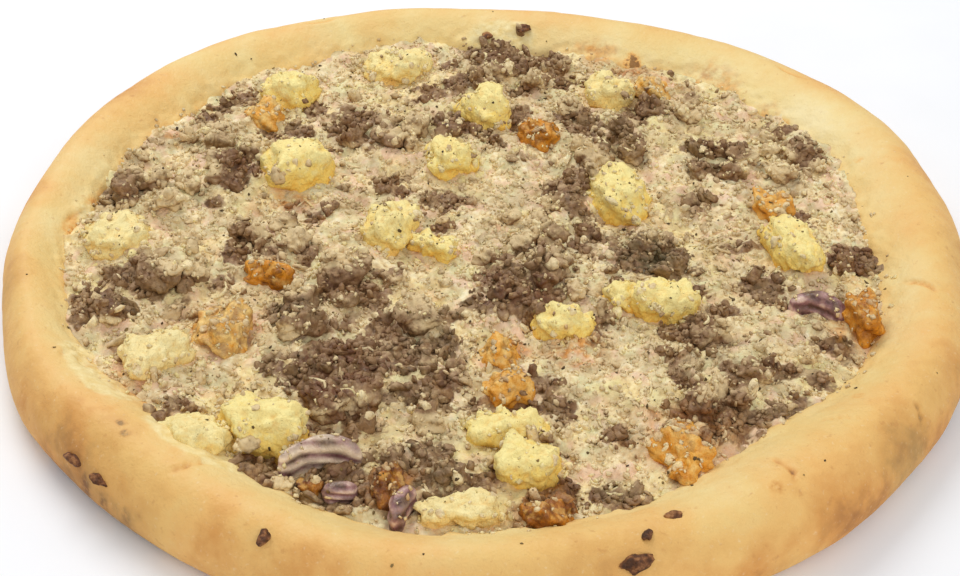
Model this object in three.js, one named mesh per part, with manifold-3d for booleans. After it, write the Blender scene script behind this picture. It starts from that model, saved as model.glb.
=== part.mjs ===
// A round Turkish pizza: a flat disc of dough with a plump baked rim, filled with fried mince under grated
// cheese, with lumps of yellow cheese, browned cheese and onion slices lying on top.
// Millimetres, +Z up. The origin is the centre of the flat underside. -Y is the side nearest the eater.
import * as THREE from "three";
import { mergeVertices } from "three/addons/utils/BufferGeometryUtils.js";
import Module from "manifold-3d";

const wasm = await Module();
wasm.setup();

// Driving dimensions
const outerRadius = 140;
const rimWidth = 25.2; // from the outer edge in to where the topping starts
const rimHeight = 21;
const floorHeight = 5.5; // dough under the topping
const footHub = { x: 6, y: 4 }; // where the underside's facets meet, so that the origin lies inside one
const toppingHeight = 12.6; // top of the cheese and mince, between the mounds
const clearance = 0.35; // kept between neighbouring pieces
const roundSteps = 72; // facets round the pizza
const toppingRings = 10;
const firstRingIn = 0.35; // how far in from the edge the first of them lies, as a share of a ring
const edgeBlendFrom = 0.86; // share of the way to the rim from which the top runs out to the edge's height

// Slow waves that keep the dough from being a true circle: count of lobes, size in mm, turn in degrees
const outlineLobes = [
  { count: 3, size: 2.9, turn: 26 },
  { count: 4, size: 2.2, turn: 40 },
  { count: 5, size: 0.6, turn: -26 },
  { count: 9, size: 0.5, turn: 14 },
  { count: 14, size: 0.35, turn: 3 },
];
const rimWidthLobes = [
  { count: 1, size: 3.3, turn: -9 },
  { count: 3, size: 0.9, turn: 31 },
  { count: 4, size: 2.5, turn: -44 },
  { count: 5, size: 1.9, turn: 13 },
  { count: 6, size: 0.9, turn: 5 },
  { count: 13, size: 0.6, turn: 8 },
];
const rimHeightLobes = [
  { count: 2, size: 0.7, turn: 70 },
  { count: 5, size: 0.7, turn: 10 },
  { count: 9, size: 0.4, turn: 31 },
];
const surfaceWaves = [
  { length: 61, size: 0.6, turn: 20 },
  { length: 37, size: 0.5, turn: 105 },
  { length: 23, size: 0.35, turn: 160 },
  { length: 15, size: 0.25, turn: 55 },
];

// Section of the rim: share of the rim's width in from the edge, share of its height up
const rimSection = [
  [0.33, 0],
  [0.14, 0.05],
  [0.03, 0.19],
  [0, 0.38],
  [0.03, 0.6],
  [0.12, 0.8],
  [0.26, 0.94],
  [0.42, 1],
  [0.58, 0.96],
  [0.74, 0.86],
  [0.88, 0.73],
  [1, 0.6],
  [1.07, 0.44],
  [1.1, 0.29],
];
const sectionFoot = rimSection.at(-1)[1];
const rimSideEdge = 3; // the point of the section furthest out
const toppingEdge = 11; // the point of the section where the topping meets the rim

// Mounds of fried mince: where they lie, how far they reach and how high they stand over the cheese
const moundEnd = 1.35; // where a mound has faded out, in reaches
const minceMounds = [
  { x: -102, y: -34, reach: 15, rise: 2.6 },
  { x: -88, y: -22, reach: 18, rise: 2.4 },
  { x: -66, y: -7, reach: 15, rise: 2 },
  { x: -50, y: -37, reach: 13, rise: 2 },
  { x: -36, y: -26, reach: 18, rise: 2.2 },
  { x: -41, y: -66, reach: 20, rise: 2.6 },
  { x: -30, y: -96, reach: 18, rise: 2.4 },
  { x: -9, y: -96, reach: 15, rise: 2 },
  { x: 12, y: -22, reach: 20, rise: 2.4 },
  { x: 45, y: -10, reach: 17, rise: 2 },
  { x: 24, y: 24, reach: 14, rise: 2 },
  { x: 60, y: -76, reach: 17, rise: 2.6 },
  { x: 68, y: -50, reach: 17, rise: 2.4 },
  { x: 98, y: -14, reach: 13, rise: 2.2 },
  { x: 70, y: 45, reach: 15, rise: 2.2 },
  { x: 96, y: 42, reach: 13, rise: 2 },
  { x: 36, y: 57, reach: 19, rise: 2.6 },
  { x: 54, y: 72, reach: 14, rise: 2 },
  { x: 7, y: 101, reach: 17, rise: 2.6 },
  { x: -10, y: 86, reach: 15, rise: 2 },
  { x: -34, y: 52, reach: 15, rise: 2 },
  { x: -26, y: 23, reach: 12, rise: 1.8 },
  { x: -76, y: 38, reach: 17, rise: 2.4 },
  { x: -84, y: 64, reach: 14, rise: 2 },
  { x: -100, y: 20, reach: 13, rise: 2 },
  { x: -72, y: -78, reach: 11, rise: 1.6 },
];

// Crumbs of mince that stand out of the bed
const crumbs = { tries: 420, smallest: 5.5, largest: 11, squash: 0.72, standsOut: 0.12, mostKept: 79 };
const crumbRough = 0.12;
const crumbNarrowest = 0.7; // least width of a crumb, as a share of its length
const crumbStray = 4; // how far a crumb may lie from its even place
const crumbsOffMounds = 0.08; // share of the crumbs that are kept where there is no mound
const crumbRoom = 0.62; // share of a crumb's size kept free round a lump
const crumbFromRim = 0.75; // share of its size kept free at the rim
const scraps = { squash: 0.4, turn: 40, firstSeed: 900 };
const neighbourReach = 24; // lumps further apart than this never touch
const ovalMargin = 1.15; // where a crumb stops being near a lump, the lump's own oval being at 1

// Lumps that lie on the bed: size across, along and up, and how far each is turned
const yellowCheese = [
  { x: -57, y: 31, across: 20, along: 17, up: 17, turn: 12 },
  { x: -65, y: 77, across: 17.5, along: 15, up: 15, turn: -15 },
  { x: -1, y: 68, across: 15, along: 18, up: 15, turn: 30 },
  { x: -11, y: 38.5, across: 13.5, along: 13.5, up: 14, turn: 8 },
  { x: 39.8, y: 81.5, across: 16, along: 14, up: 14, turn: -10 },
  { x: 39, y: 20.5, across: 16.5, along: 20.5, up: 15.5, turn: 15 },
  { x: 87, y: -8.5, across: 11, along: 24, up: 15, turn: 20 },
  { x: -28, y: 1.5, across: 14, along: 18, up: 14, turn: -20 },
  { x: -15.5, y: -4.5, across: 13, along: 7, up: 8.5, turn: -30 },
  { x: 49, y: -30, across: 16.5, along: 14, up: 12, turn: -8 },
  { x: 38.5, y: -28, across: 10.5, along: 8.5, up: 7.5, turn: 12 },
  { x: 21, y: -41, across: 16, along: 10, up: 10, turn: 6 },
  { x: -55, y: -86, across: 22, along: 15, up: 17, turn: -14 },
  { x: -71, y: -91, across: 18, along: 12, up: 14, turn: -28 },
  { x: 6, y: -84, across: 21, along: 10, up: 12, turn: 4 },
  { x: 10, y: -97, across: 15, along: 15, up: 14, turn: -12 },
  { x: -106, y: -4.5, across: 16.5, along: 16.5, up: 11, turn: 10 },
  { x: -6, y: -113, across: 20, along: 9, up: 8, turn: 3 },
  { x: -31, y: 97, across: 20, along: 15, up: 12, turn: -5 },
  { x: -86, y: -57, across: 18, along: 15, up: 11, turn: 35 },
];
const brownedCheese = [
  { x: 49, y: -93, across: 13, along: 18, up: 11, turn: 24 },
  { x: 14.5, y: -114, across: 12, along: 8, up: 11, turn: 6 },
  { x: -71, y: -45, across: 15, along: 17, up: 10, turn: -8 },
  { x: -61, y: -21, across: 13, along: 8, up: 7, turn: -4 },
  { x: 15.5, y: 55, across: 10, along: 12, up: 10, turn: 20 },
  { x: -71.5, y: 63.5, across: 11, along: 8.5, up: 9, turn: -18 },
  { x: 53.5, y: 82, across: 9.5, along: 9, up: 9, turn: 15 },
  { x: 5, y: -67, across: 10, along: 10, up: 9, turn: -25 },
  { x: 84.5, y: 18, across: 9.5, along: 11, up: 9, turn: 0 },
  { x: 101, y: -37, across: 8, along: 15, up: 11, turn: 12 },
  { x: -22, y: -107.5, across: 8, along: 9, up: 11, turn: -14 },
  { x: 4, y: -52, across: 10, along: 9, up: 8, turn: 10 },
  { x: -41.5, y: -106, across: 7, along: 5, up: 6, turn: 20 },
];
// Slices bend round an arc of this radius
const onionSlices = [
  { x: -19.5, y: -113, across: 11, along: 4.2, up: 9.5, turn: 70, bendRadius: 9 },
  { x: 91, y: -31, across: 17, along: 4.4, up: 9, turn: -20, bendRadius: 9 },
  { x: -40, y: -95.5, across: 22, along: 3.6, up: 11, turn: 12, bendRadius: 13 },
  { x: -34, y: -107, across: 8, along: 3.4, up: 6, turn: 8, bendRadius: 9 },
];

// Browned scraps of topping that fell on the rim
const rimScraps = [
  { x: 34, y: -132, size: 6.5 },
  { x: 36.5, y: -126, size: 3.5 },
  { x: 43, y: -119.5, size: 3.5 },
  { x: -49.5, y: -126, size: 4.5 },
  { x: -100, y: -96.5, size: 4.5 },
  { x: -92.5, y: -104, size: 5 },
  { x: -0.4, y: 115.8, size: 3.4 },
  { x: 11.6, y: 115.6, size: 4.6 },
];

// A lump's form: how square a block it is, and the waves of its skin, each with its pull along the three axes
// and how far it shifts from one lump to the next
const squareness = 3;
const broadWave = { x: 4.1, y: 2.3, z: 0, shift: 1.7 };
const crossWave = { x: 0, y: 3.7, z: -2.9, shift: 2.9 };
const fineWave = { x: 5.1, y: 0, z: 7.3, shift: 4.3, size: 0.6 };

// Kinds of lump: how uneven the skin is, how far the middle lies above the bed as a share of the height, and
// the width from which the solid gets the finer facets
const lumpKinds = [
  { name: "yellow_cheese", lumps: yellowCheese, rough: 0.09, standsOut: 0.12, fineFrom: 14.5 },
  { name: "browned_cheese", lumps: brownedCheese, rough: 0.1, standsOut: 0.1, fineFrom: 20 },
  { name: "onion_slice", lumps: onionSlices, rough: 0.03, standsOut: 0.15, fineFrom: 3.5 },
];

const finishes = {
  crust: { color: "#e3b877", roughness: 0.75 },
  mince_and_cheese_bed: { color: "#b9a079", roughness: 0.8 },
  yellow_cheese: { color: "#f0cf62", roughness: 0.6 },
  browned_cheese: { color: "#d98a34", roughness: 0.6 },
  onion_slice: { color: "#7d5a5c", roughness: 0.6 },
};

const radians = THREE.MathUtils.degToRad;

// A number from 0 to 1 that depends only on the two whole numbers given.
function draw(index, kind) {
  const wide = Math.sin(index * 12.9898 + kind * 78.233) * 43758.5453;
  return wide - Math.floor(wide);
}

function lobeSum(lobes, angle) {
  const heights = lobes.map(({ count, size, turn }) => size * Math.cos(count * (angle - radians(turn))));
  return heights.reduce((sum, height) => sum + height, 0);
}

// The rim's section at one angle as [distance from the centre, height], moved out of the dough by grow.
function sectionAt(angle, grow) {
  const radius = outerRadius + lobeSum(outlineLobes, angle);
  const width = rimWidth + lobeSum(rimWidthLobes, angle);
  const height = rimHeight + lobeSum(rimHeightLobes, angle);
  const points = rimSection.map(([inShare, upShare]) => [
    radius - inShare * width,
    // under the topping's edge the section runs down to the level floor
    inShare > 1 ? floorHeight + (upShare - sectionFoot) * height : upShare * height,
  ]);
  return points.map(([r, z], i) => {
    if (i === 0 || grow === 0) return [r, i === 0 ? -grow : z];
    const before = points[i - 1];
    const after = points[Math.min(i + 1, points.length - 1)];
    const along = new THREE.Vector2(after[0] - before[0], after[1] - before[1]).normalize();
    return [r + along.y * grow, z - along.x * grow];
  });
}

// A closed surface from rings of equal length, each a list of [x, y, z], capped by a point at each end.
function closedRings(startPoint, rings, endPoint) {
  const count = rings[0].length;
  const positions = [...startPoint, ...rings.flat(2), ...endPoint];
  const last = 1 + rings.length * count;
  const index = [];
  for (let i = 0; i < count; i++) {
    const next = (i + 1) % count;
    index.push(0, 1 + next, 1 + i);
    for (let ring = 0; ring < rings.length - 1; ring++) {
      const a = 1 + ring * count;
      const b = a + count;
      index.push(a + i, a + next, b + i, a + next, b + next, b + i);
    }
    index.push(last, last - count + i, last - count + next);
  }
  const geometry = new THREE.BufferGeometry();
  geometry.setAttribute("position", new THREE.Float32BufferAttribute(positions, 3));
  geometry.setIndex(index);
  return geometry;
}

function solidOf(geometry) {
  const bare = new THREE.BufferGeometry();
  bare.setAttribute("position", geometry.getAttribute("position"));
  if (geometry.index) bare.setIndex(geometry.index);
  const merged = mergeVertices(bare);
  return new wasm.Manifold(
    new wasm.Mesh({
      numProp: 3,
      vertProperties: new Float32Array(merged.attributes.position.array),
      triVerts: new Uint32Array(merged.index.array),
    }),
  );
}

// The largest body of a solid as a geometry; scraps cut loose are dropped.
function geometryOf(solid) {
  const bodies = solid.decompose().sort((a, b) => b.volume() - a.volume());
  const mesh = bodies[0].getMesh();
  const geometry = new THREE.BufferGeometry();
  geometry.setAttribute("position", new THREE.Float32BufferAttribute(mesh.vertProperties, 3));
  geometry.setIndex([...mesh.triVerts]);
  return geometry;
}

const angles = Array.from({ length: roundSteps }, (_, i) => (i * 2 * Math.PI) / roundSteps);

function onCircle(angle, [r, z]) {
  return [r * Math.cos(angle), r * Math.sin(angle), z];
}

// The dough: rings run from the foot over the rim and down to the floor.
function crustShape(grow = 0) {
  const sections = angles.map((angle) => sectionAt(angle, grow));
  const rings = rimSection.map((_, k) => angles.map((angle, i) => onCircle(angle, sections[i][k])));
  return closedRings([footHub.x, footHub.y, -grow], rings, [0, 0, floorHeight + grow]);
}

// How much a place belongs to a mound, from 0 to 1, and how high the mounds lift it.
function moundAt(x, y) {
  let share = 0;
  let rise = 0;
  for (const mound of minceMounds) {
    const reach = Math.hypot(x - mound.x, y - mound.y) / mound.reach;
    const here = THREE.MathUtils.smoothstep(moundEnd - reach, 0, 1);
    share = Math.max(share, here);
    rise = Math.max(rise, here * mound.rise);
  }
  return { share, rise };
}

function bedHeightAt(x, y) {
  const waves = surfaceWaves.reduce((sum, wave) => {
    const turn = radians(wave.turn);
    const along = x * Math.cos(turn) + y * Math.sin(turn);
    return sum + wave.size * Math.sin((2 * Math.PI * along) / wave.length);
  }, 0);
  return toppingHeight + waves + moundAt(x, y).rise;
}

// The bed under the crumbs: it fills the hollow in the dough, and lift raises its top.
function bedShape(lift = 0) {
  const sides = angles.map((angle) => sectionAt(angle, clearance).slice(toppingEdge).reverse());
  const walls = sides[0].map((_, k) => angles.map((angle, i) => onCircle(angle, sides[i][k])));
  const tops = Array.from({ length: toppingRings }, (_, k) =>
    angles.map((angle, i) => {
      const share = 1 - (k + firstRingIn) / (toppingRings + firstRingIn);
      const edge = sides[i].at(-1);
      const r = edge[0] * share;
      const [x, y] = [r * Math.cos(angle), r * Math.sin(angle)];
      // near the rim the top runs out to the edge's own height
      const blend = THREE.MathUtils.smoothstep(share, edgeBlendFrom, 1);
      return [x, y, THREE.MathUtils.lerp(bedHeightAt(x, y), edge[1], blend) + lift];
    }),
  );
  return closedRings([0, 0, floorHeight + clearance], [...walls, ...tops], [0, 0, bedHeightAt(0, 0) + lift]);
}

function waveAt({ x, y, z, shift }, point, seed) {
  return Math.sin(x * point.x + y * point.y + z * point.z + shift * seed);
}

// A rounded block with an uneven skin, worked out from a subdivided ball.
function lumpShape({ across, along, up, detail, rough, seed, bendRadius }) {
  const geometry = new THREE.IcosahedronGeometry(1, detail);
  const position = geometry.getAttribute("position");
  const point = new THREE.Vector3();
  for (let i = 0; i < position.count; i++) {
    point.fromBufferAttribute(position, i).normalize();
    const powers = point.toArray().map((value) => Math.abs(value) ** squareness);
    const block = (powers[0] + powers[1] + powers[2]) ** (-1 / squareness);
    const coarse = waveAt(broadWave, point, seed) * waveAt(crossWave, point, seed);
    const skin = coarse + fineWave.size * waveAt(fineWave, point, seed);
    point.multiplyScalar(block * (1 + rough * skin));
    point.multiply(new THREE.Vector3(across / 2, along / 2, up / 2));
    if (bendRadius) {
      const angle = point.x / bendRadius;
      const r = bendRadius + point.y;
      point.set(r * Math.sin(angle), r * Math.cos(angle) - bendRadius, point.z);
    }
    position.setXYZ(i, point.x, point.y, point.z);
  }
  geometry.deleteAttribute("normal");
  geometry.deleteAttribute("uv");
  return mergeVertices(geometry, 1e-4);
}

function placed(geometry, x, y, z, turn) {
  geometry.rotateZ(radians(turn));
  geometry.translate(x, y, z);
  return geometry;
}

// A lump settled on the bed, with what would sink into the bed, the dough or an earlier lump cut away.
function lyingLump(lump, seed, kind) {
  const level = bedHeightAt(lump.x, lump.y) + lump.up * kind.standsOut;
  const detail = Math.min(lump.across, lump.along) < kind.fineFrom ? 1 : 2;
  const shapeOf = (grow) => {
    const size = { across: lump.across + grow, along: lump.along + grow, up: lump.up + grow };
    const shape = lumpShape({ ...lump, ...size, rough: kind.rough, detail, seed });
    return solidOf(placed(shape, lump.x, lump.y, level, lump.turn));
  };
  const solid = settled
    .filter((other) => Math.hypot(other.x - lump.x, other.y - lump.y) < neighbourReach)
    .reduce((rest, other) => rest.subtract(other.grown), shapeOf(0).subtract(raisedBed).subtract(grownCrust));
  settled.push({ x: lump.x, y: lump.y, grown: shapeOf(2 * clearance) });
  return solid;
}

// True where a crumb of this reach would touch a lump.
function nearLump(x, y, reach) {
  const lumps = lumpKinds.flatMap((kind) => kind.lumps);
  return lumps.some((lump) => {
    const turn = radians(lump.turn);
    const [dx, dy] = [x - lump.x, y - lump.y];
    const u = (dx * Math.cos(turn) + dy * Math.sin(turn)) / (lump.across / 2 + reach);
    const bow = lump.bendRadius ? lump.along : 0;
    const v = (-dx * Math.sin(turn) + dy * Math.cos(turn)) / (lump.along / 2 + bow + reach);
    return u * u + v * v < ovalMargin;
  });
}

// Crumbs spread on a sunflower's spiral, thick on the mounds and thin between them, largest first.
function minceCrumbs() {
  const goldenAngle = Math.PI * (3 - Math.sqrt(5));
  const kept = [];
  for (let i = 0; i < crumbs.tries; i++) {
    const angle = i * goldenAngle;
    const edge = sectionAt(angle, clearance)[toppingEdge][0];
    const size = crumbs.smallest + (crumbs.largest - crumbs.smallest) * draw(i, 1) ** 2;
    const reach = edge * Math.sqrt((i + 0.5) / crumbs.tries);
    const x = reach * Math.cos(angle) + crumbStray * (draw(i, 2) - 0.5);
    const y = reach * Math.sin(angle) + crumbStray * (draw(i, 3) - 0.5);
    const wanted = THREE.MathUtils.lerp(crumbsOffMounds, 1, moundAt(x, y).share);
    const fits = Math.hypot(x, y) < edge - crumbFromRim * size - 3 * clearance;
    if (!fits || draw(i, 4) > wanted || nearLump(x, y, crumbRoom * size + 2 * clearance)) continue;
    kept.push({ x, y, size, turn: 360 * draw(i, 5), seed: i });
  }
  kept.sort((a, b) => b.size - a.size);
  return kept.slice(0, crumbs.mostKept);
}

function crumbSolid({ x, y, size, turn, seed }, level, squash) {
  const shape = lumpShape({
    across: size,
    along: size * THREE.MathUtils.lerp(crumbNarrowest, 1, draw(seed, 6)),
    up: size * squash,
    detail: 0,
    rough: crumbRough,
    seed,
  });
  return solidOf(placed(shape, x, y, level, turn));
}

function toppingBed() {
  const pieces = minceCrumbs().map((crumb) =>
    crumbSolid(crumb, bedHeightAt(crumb.x, crumb.y) + crumbs.standsOut * crumb.size, crumbs.squash),
  );
  return pieces.reduce((bed, piece) => bed.add(piece), solidOf(bedShape()));
}

function crustWithScraps() {
  return rimScraps.reduce((dough, { x, y, size }, i) => {
    const angle = Math.atan2(y, x);
    const section = sectionAt(angle, 0).slice(rimSideEdge);
    const inner = section.findIndex(([r]) => r < Math.hypot(x, y));
    const [above, below] = [section[inner - 1], section[inner]];
    const z = THREE.MathUtils.mapLinear(Math.hypot(x, y), above[0], below[0], above[1], below[1]);
    const turn = THREE.MathUtils.radToDeg(angle) + scraps.turn;
    return dough.add(crumbSolid({ x, y, size, turn, seed: scraps.firstSeed + i }, z, scraps.squash));
  }, solidOf(crustShape()));
}

const raisedBed = solidOf(bedShape(clearance));
const grownCrust = solidOf(crustShape(clearance));
const settled = []; // lumps already laid down, each a little enlarged

function meshOf(name, solid, finish) {
  const material = new THREE.MeshStandardMaterial({ ...finish, metalness: 0, flatShading: true });
  const mesh = new THREE.Mesh(geometryOf(solid), material);
  mesh.name = name;
  return mesh;
}

const numbered = (name, i) => `${name}_${String(i + 1).padStart(2, "0")}`;

const pizza = new THREE.Group();
pizza.add(meshOf("crust", crustWithScraps(), finishes.crust));
pizza.add(meshOf("mince_and_cheese_bed", toppingBed(), finishes.mince_and_cheese_bed));
for (const kind of lumpKinds) {
  kind.lumps.forEach((lump, i) => {
    pizza.add(meshOf(numbered(kind.name, i), lyingLump(lump, i + 1, kind), finishes[kind.name]));
  });
}

export default pizza;
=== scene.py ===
# A round Turkish pizza as it looks: baked dough with a plump rim, fried mince under grated cheese, lumps of
# yellow and browned cheese, bent onion slices and dried herbs.
# Sizes and places below are in millimetres, and every mesh is put in metres.
import bpy
import numpy as np
from mathutils import Matrix, Vector
from mathutils.bvhtree import BVHTree


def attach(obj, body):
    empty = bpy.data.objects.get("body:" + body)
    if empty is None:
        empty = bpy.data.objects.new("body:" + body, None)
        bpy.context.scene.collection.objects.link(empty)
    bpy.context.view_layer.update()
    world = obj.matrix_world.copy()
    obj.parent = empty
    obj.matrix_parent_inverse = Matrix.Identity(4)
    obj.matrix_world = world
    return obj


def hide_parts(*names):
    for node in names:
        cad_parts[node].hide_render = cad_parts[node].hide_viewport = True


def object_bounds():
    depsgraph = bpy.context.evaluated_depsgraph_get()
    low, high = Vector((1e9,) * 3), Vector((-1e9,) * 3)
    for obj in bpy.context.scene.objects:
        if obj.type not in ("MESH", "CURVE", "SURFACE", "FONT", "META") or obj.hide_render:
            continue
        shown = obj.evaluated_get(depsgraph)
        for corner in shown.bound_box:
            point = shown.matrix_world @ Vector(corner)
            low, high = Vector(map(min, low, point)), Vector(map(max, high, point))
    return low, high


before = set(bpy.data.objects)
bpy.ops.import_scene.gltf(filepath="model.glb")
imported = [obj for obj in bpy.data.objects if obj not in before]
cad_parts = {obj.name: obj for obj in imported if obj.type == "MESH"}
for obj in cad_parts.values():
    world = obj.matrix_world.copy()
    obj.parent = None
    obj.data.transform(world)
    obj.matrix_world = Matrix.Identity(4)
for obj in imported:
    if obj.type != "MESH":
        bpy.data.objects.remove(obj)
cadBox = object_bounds()
metres = 0.001
highest = cadBox[1][2] / metres  # nothing stands higher than the CAD part
easeBelow = 2  # heights are eased in over this much below it


# Numbers and noise

def draw(index, kind):
    # a number from 0 to 1 that depends only on the two whole numbers: the loose end of a large sine
    wide = np.sin(index * 12.9898 + kind * 78.233) * 43758.5453
    return wide - np.floor(wide)


def chosen(rng, wanted, most):
    # the first places whose draw lies under the share that is wanted there
    return np.flatnonzero(rng.uniform(0, 1, len(wanted)) < wanted)[:most]


def drawnSizes(rng, span, power, shape):
    # least + (greatest - least) x a draw to a power: the higher the power, the more small ones
    least, greatest = span
    return least + (greatest - least) * rng.uniform(0, 1, shape) ** power


def unit(vectors):
    # each vector / its length
    return vectors / np.linalg.norm(vectors, axis=-1, keepdims=True)


def lobeSum(lobes, angle):
    # sum of size x cos(count x (angle - turn)) over the lobes, each (count, size, turn in degrees)
    return sum(size * np.cos(count * (angle - np.radians(turn))) for count, size, turn in lobes)


def smoothStep(value, low, high):
    # 0 below low, 1 above high, and 3t2 - 2t3 between
    t = np.clip((value - low) / (high - low), 0, 1)
    return t * t * (3 - 2 * t)


def cellDraw(cells, seed):
    # a number from 0 to 1 for each cell, from its three whole numbers mixed by large primes
    x, y, z = np.moveaxis(cells, -1, 0)
    n = (x * 73856093 ^ y * 19349663 ^ z * 83492791 ^ (seed + 1) * 40503) & 0xFFFFFFFF
    n = (n ^ n >> 15) * 2246822519 & 0xFFFFFFFF
    n = (n ^ n >> 13) * 3266489917 & 0xFFFFFFFF
    return (n ^ n >> 16) / 0xFFFFFFFF


def softNoise(points, length, seed=0):
    # from -1 to 1: draws at the corners of cubes of this length, blended between them by smooth steps
    scaled = points / length
    cell = np.floor(scaled).astype(np.int64)
    within = scaled - cell
    within = within * within * (3 - 2 * within)
    total = 0
    for corner in np.ndindex(2, 2, 2):
        weight = np.prod(np.where(np.array(corner) == 1, within, 1 - within), axis=-1)
        total = total + weight * cellDraw(cell + np.array(corner), seed)
    return 2 * total - 1


def roughNoise(points, length, layers, seed=0):
    # soft noise summed over layers, each half as long and half as strong as the one before
    return sum(softNoise(points, length / 2**k, seed + 7 * k) / 2**k for k in range(layers))


def noiseSum(points, waves):
    # rough noise of several lengths added up, each x its height: length, height, layers and seed of each
    return sum(height * roughNoise(points, length, layers, seed) for length, height, layers, seed in waves)


def pebbles(points, length, seed=0):
    # one point is scattered in each cube of this length: uneven domes round them, 1 at the top and 0 between,
    # as 1 - (distance / 0.9 length) to the power 1.6, the places first moved by noise, and a draw that is the
    # same all over one dome
    moved = [softNoise(points, 0.7 * length, seed + 11 + k) for k in range(3)]
    scaled = points / length + 0.28 * np.stack(moved, -1)
    cell = np.floor(scaled).astype(np.int64)
    nearest = np.full(scaled.shape[:-1], 9.0)
    tone = np.zeros(scaled.shape[:-1])
    for step in np.ndindex(3, 3, 3):
        other = cell + np.array(step) - 1
        centre = other + np.stack([cellDraw(other, seed + k) for k in range(3)], -1)
        distance = np.linalg.norm(centre - scaled, axis=-1)
        tone = np.where(distance < nearest, cellDraw(other, seed + 3), tone)
        nearest = np.minimum(nearest, distance)
    return 1 - np.clip(nearest / 0.9, 0, 1) ** 1.6, tone


# Meshes

def twoTriangles(*corners):
    # each cell, given by its four corners in order round it, as two triangles
    a, b, c, d = (corner.ravel() for corner in corners)
    return np.concatenate([np.stack([a, b, c], -1), np.stack([a, c, d], -1)])


def squareFaces(steps):
    # the cells of a square grid of points
    i, j = np.meshgrid(np.arange(steps), np.arange(steps), indexing="ij")
    a = i * (steps + 1) + j
    return twoTriangles(a, a + steps + 1, a + steps + 2, a + 1)


def gridFaces(rows, columns):
    # the cells of a grid whose last column joins the first, and a fan round each pole; the poles are the
    # points after the grid
    i, j = np.meshgrid(np.arange(rows - 1), np.arange(columns), indexing="ij")
    a, b = i * columns + j, i * columns + (j + 1) % columns
    cells = twoTriangles(a, b, b + columns, a + columns)
    j = np.arange(columns)
    nextJ, last = (j + 1) % columns, (rows - 1) * columns
    start = np.stack([nextJ, j, np.full(columns, rows * columns)], -1)
    end = np.stack([last + j, last + nextJ, np.full(columns, rows * columns + 1)], -1)
    return np.concatenate([cells, start, end])


def ballGrid(steps):
    # a unit ball from a cube: each side is a grid of two parameters, spaced by a tangent so that the cells
    # come out alike, then pushed out to the ball, and points that two sides share are made one
    line = np.tan(np.linspace(-np.pi / 4, np.pi / 4, steps + 1))
    u, v = np.meshgrid(line, line, indexing="ij")
    sides = [np.stack([np.ones_like(u), u, v], -1), np.stack([-np.ones_like(u), v, u], -1)]
    points = np.concatenate([np.roll(side, axis, -1).reshape(-1, 3) for axis in range(3) for side in sides])
    points = unit(points)
    faces = np.concatenate([squareFaces(steps) + k * (steps + 1) ** 2 for k in range(6)])
    _, first, merged = np.unique(np.round(points, 6), axis=0, return_index=True, return_inverse=True)
    return points[first], merged.ravel()[faces]


def eased(z):
    # a height above the knee goes to knee + room x tanh(way above it / room), and stays under the highest
    knee = highest - easeBelow
    return np.where(z > knee, knee + easeBelow * np.tanh((z - knee) / easeBelow), z)


def addObject(name, data):
    # a new object in the scene
    made = bpy.data.objects.new(name, data)
    bpy.context.collection.objects.link(made)
    return made


def makePiece(name, points, faces, material, values, replaced=None):
    # a mesh object at the origin, riding on the pizza, with its values for each point as attributes
    points = np.concatenate([points[:, :2], eased(points[:, 2:])], axis=1)
    mesh = bpy.data.meshes.new(name)
    mesh.vertices.add(len(points))
    mesh.vertices.foreach_set("co", (points * metres).ravel())
    mesh.loops.add(faces.size)
    mesh.loops.foreach_set("vertex_index", faces.ravel())
    mesh.polygons.add(len(faces))
    mesh.polygons.foreach_set("loop_start", np.arange(0, faces.size, 3))
    for key, numbers in values.items():
        full = np.broadcast_to(numbers, len(points)).astype(np.float32)
        mesh.attributes.new(key, "FLOAT", "POINT").data.foreach_set("value", full)
    mesh.update(calc_edges=True)
    mesh.shade_smooth()
    mesh.materials.append(material)
    piece = addObject(name, mesh)
    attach(piece, "root")
    if replaced:
        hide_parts(replaced)


def makeCopies(name, shapes, faces, material, values):
    # one piece of many copies of a shape, given as copies x points x 3; a value is one for each copy or one
    # for each point
    copies, count = shapes.shape[:2]
    points = shapes.reshape(-1, 3)
    faces = (faces + np.arange(copies)[:, None, None] * count).reshape(-1, 3)
    values = {key: np.repeat(numbers, len(points) // len(numbers)) for key, numbers in values.items()}
    makePiece(name, points, faces, material, values)
    print(f"{name}: {copies} copies, {len(faces)} triangles")
    return points, faces


def turnedTo(normals, rng, shapes):
    # each copy of a shape turned about +Z as drawn, then with +Z to its normal: the columns of its matrix are
    # a level side, the normal x the side, and the normal
    turns = rng.uniform(0, 2 * np.pi, len(shapes))
    side = unit(np.cross(normals, np.stack([-np.sin(turns), np.cos(turns), np.zeros_like(turns)], -1)))
    axes = np.stack([side, np.cross(normals, side), normals], -1)
    return np.einsum("nij,nkj->nki", axes, shapes)


# Materials

def paint(red, green, blue):
    # a colour as it looks, 0 to 255, as the linear colour that a shader takes
    shown = np.array([red, green, blue]) / 255
    linear = np.where(shown > 0.04045, ((shown + 0.055) / 1.055) ** 2.4, shown / 12.92)
    return (*linear.tolist(), 1)


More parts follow.
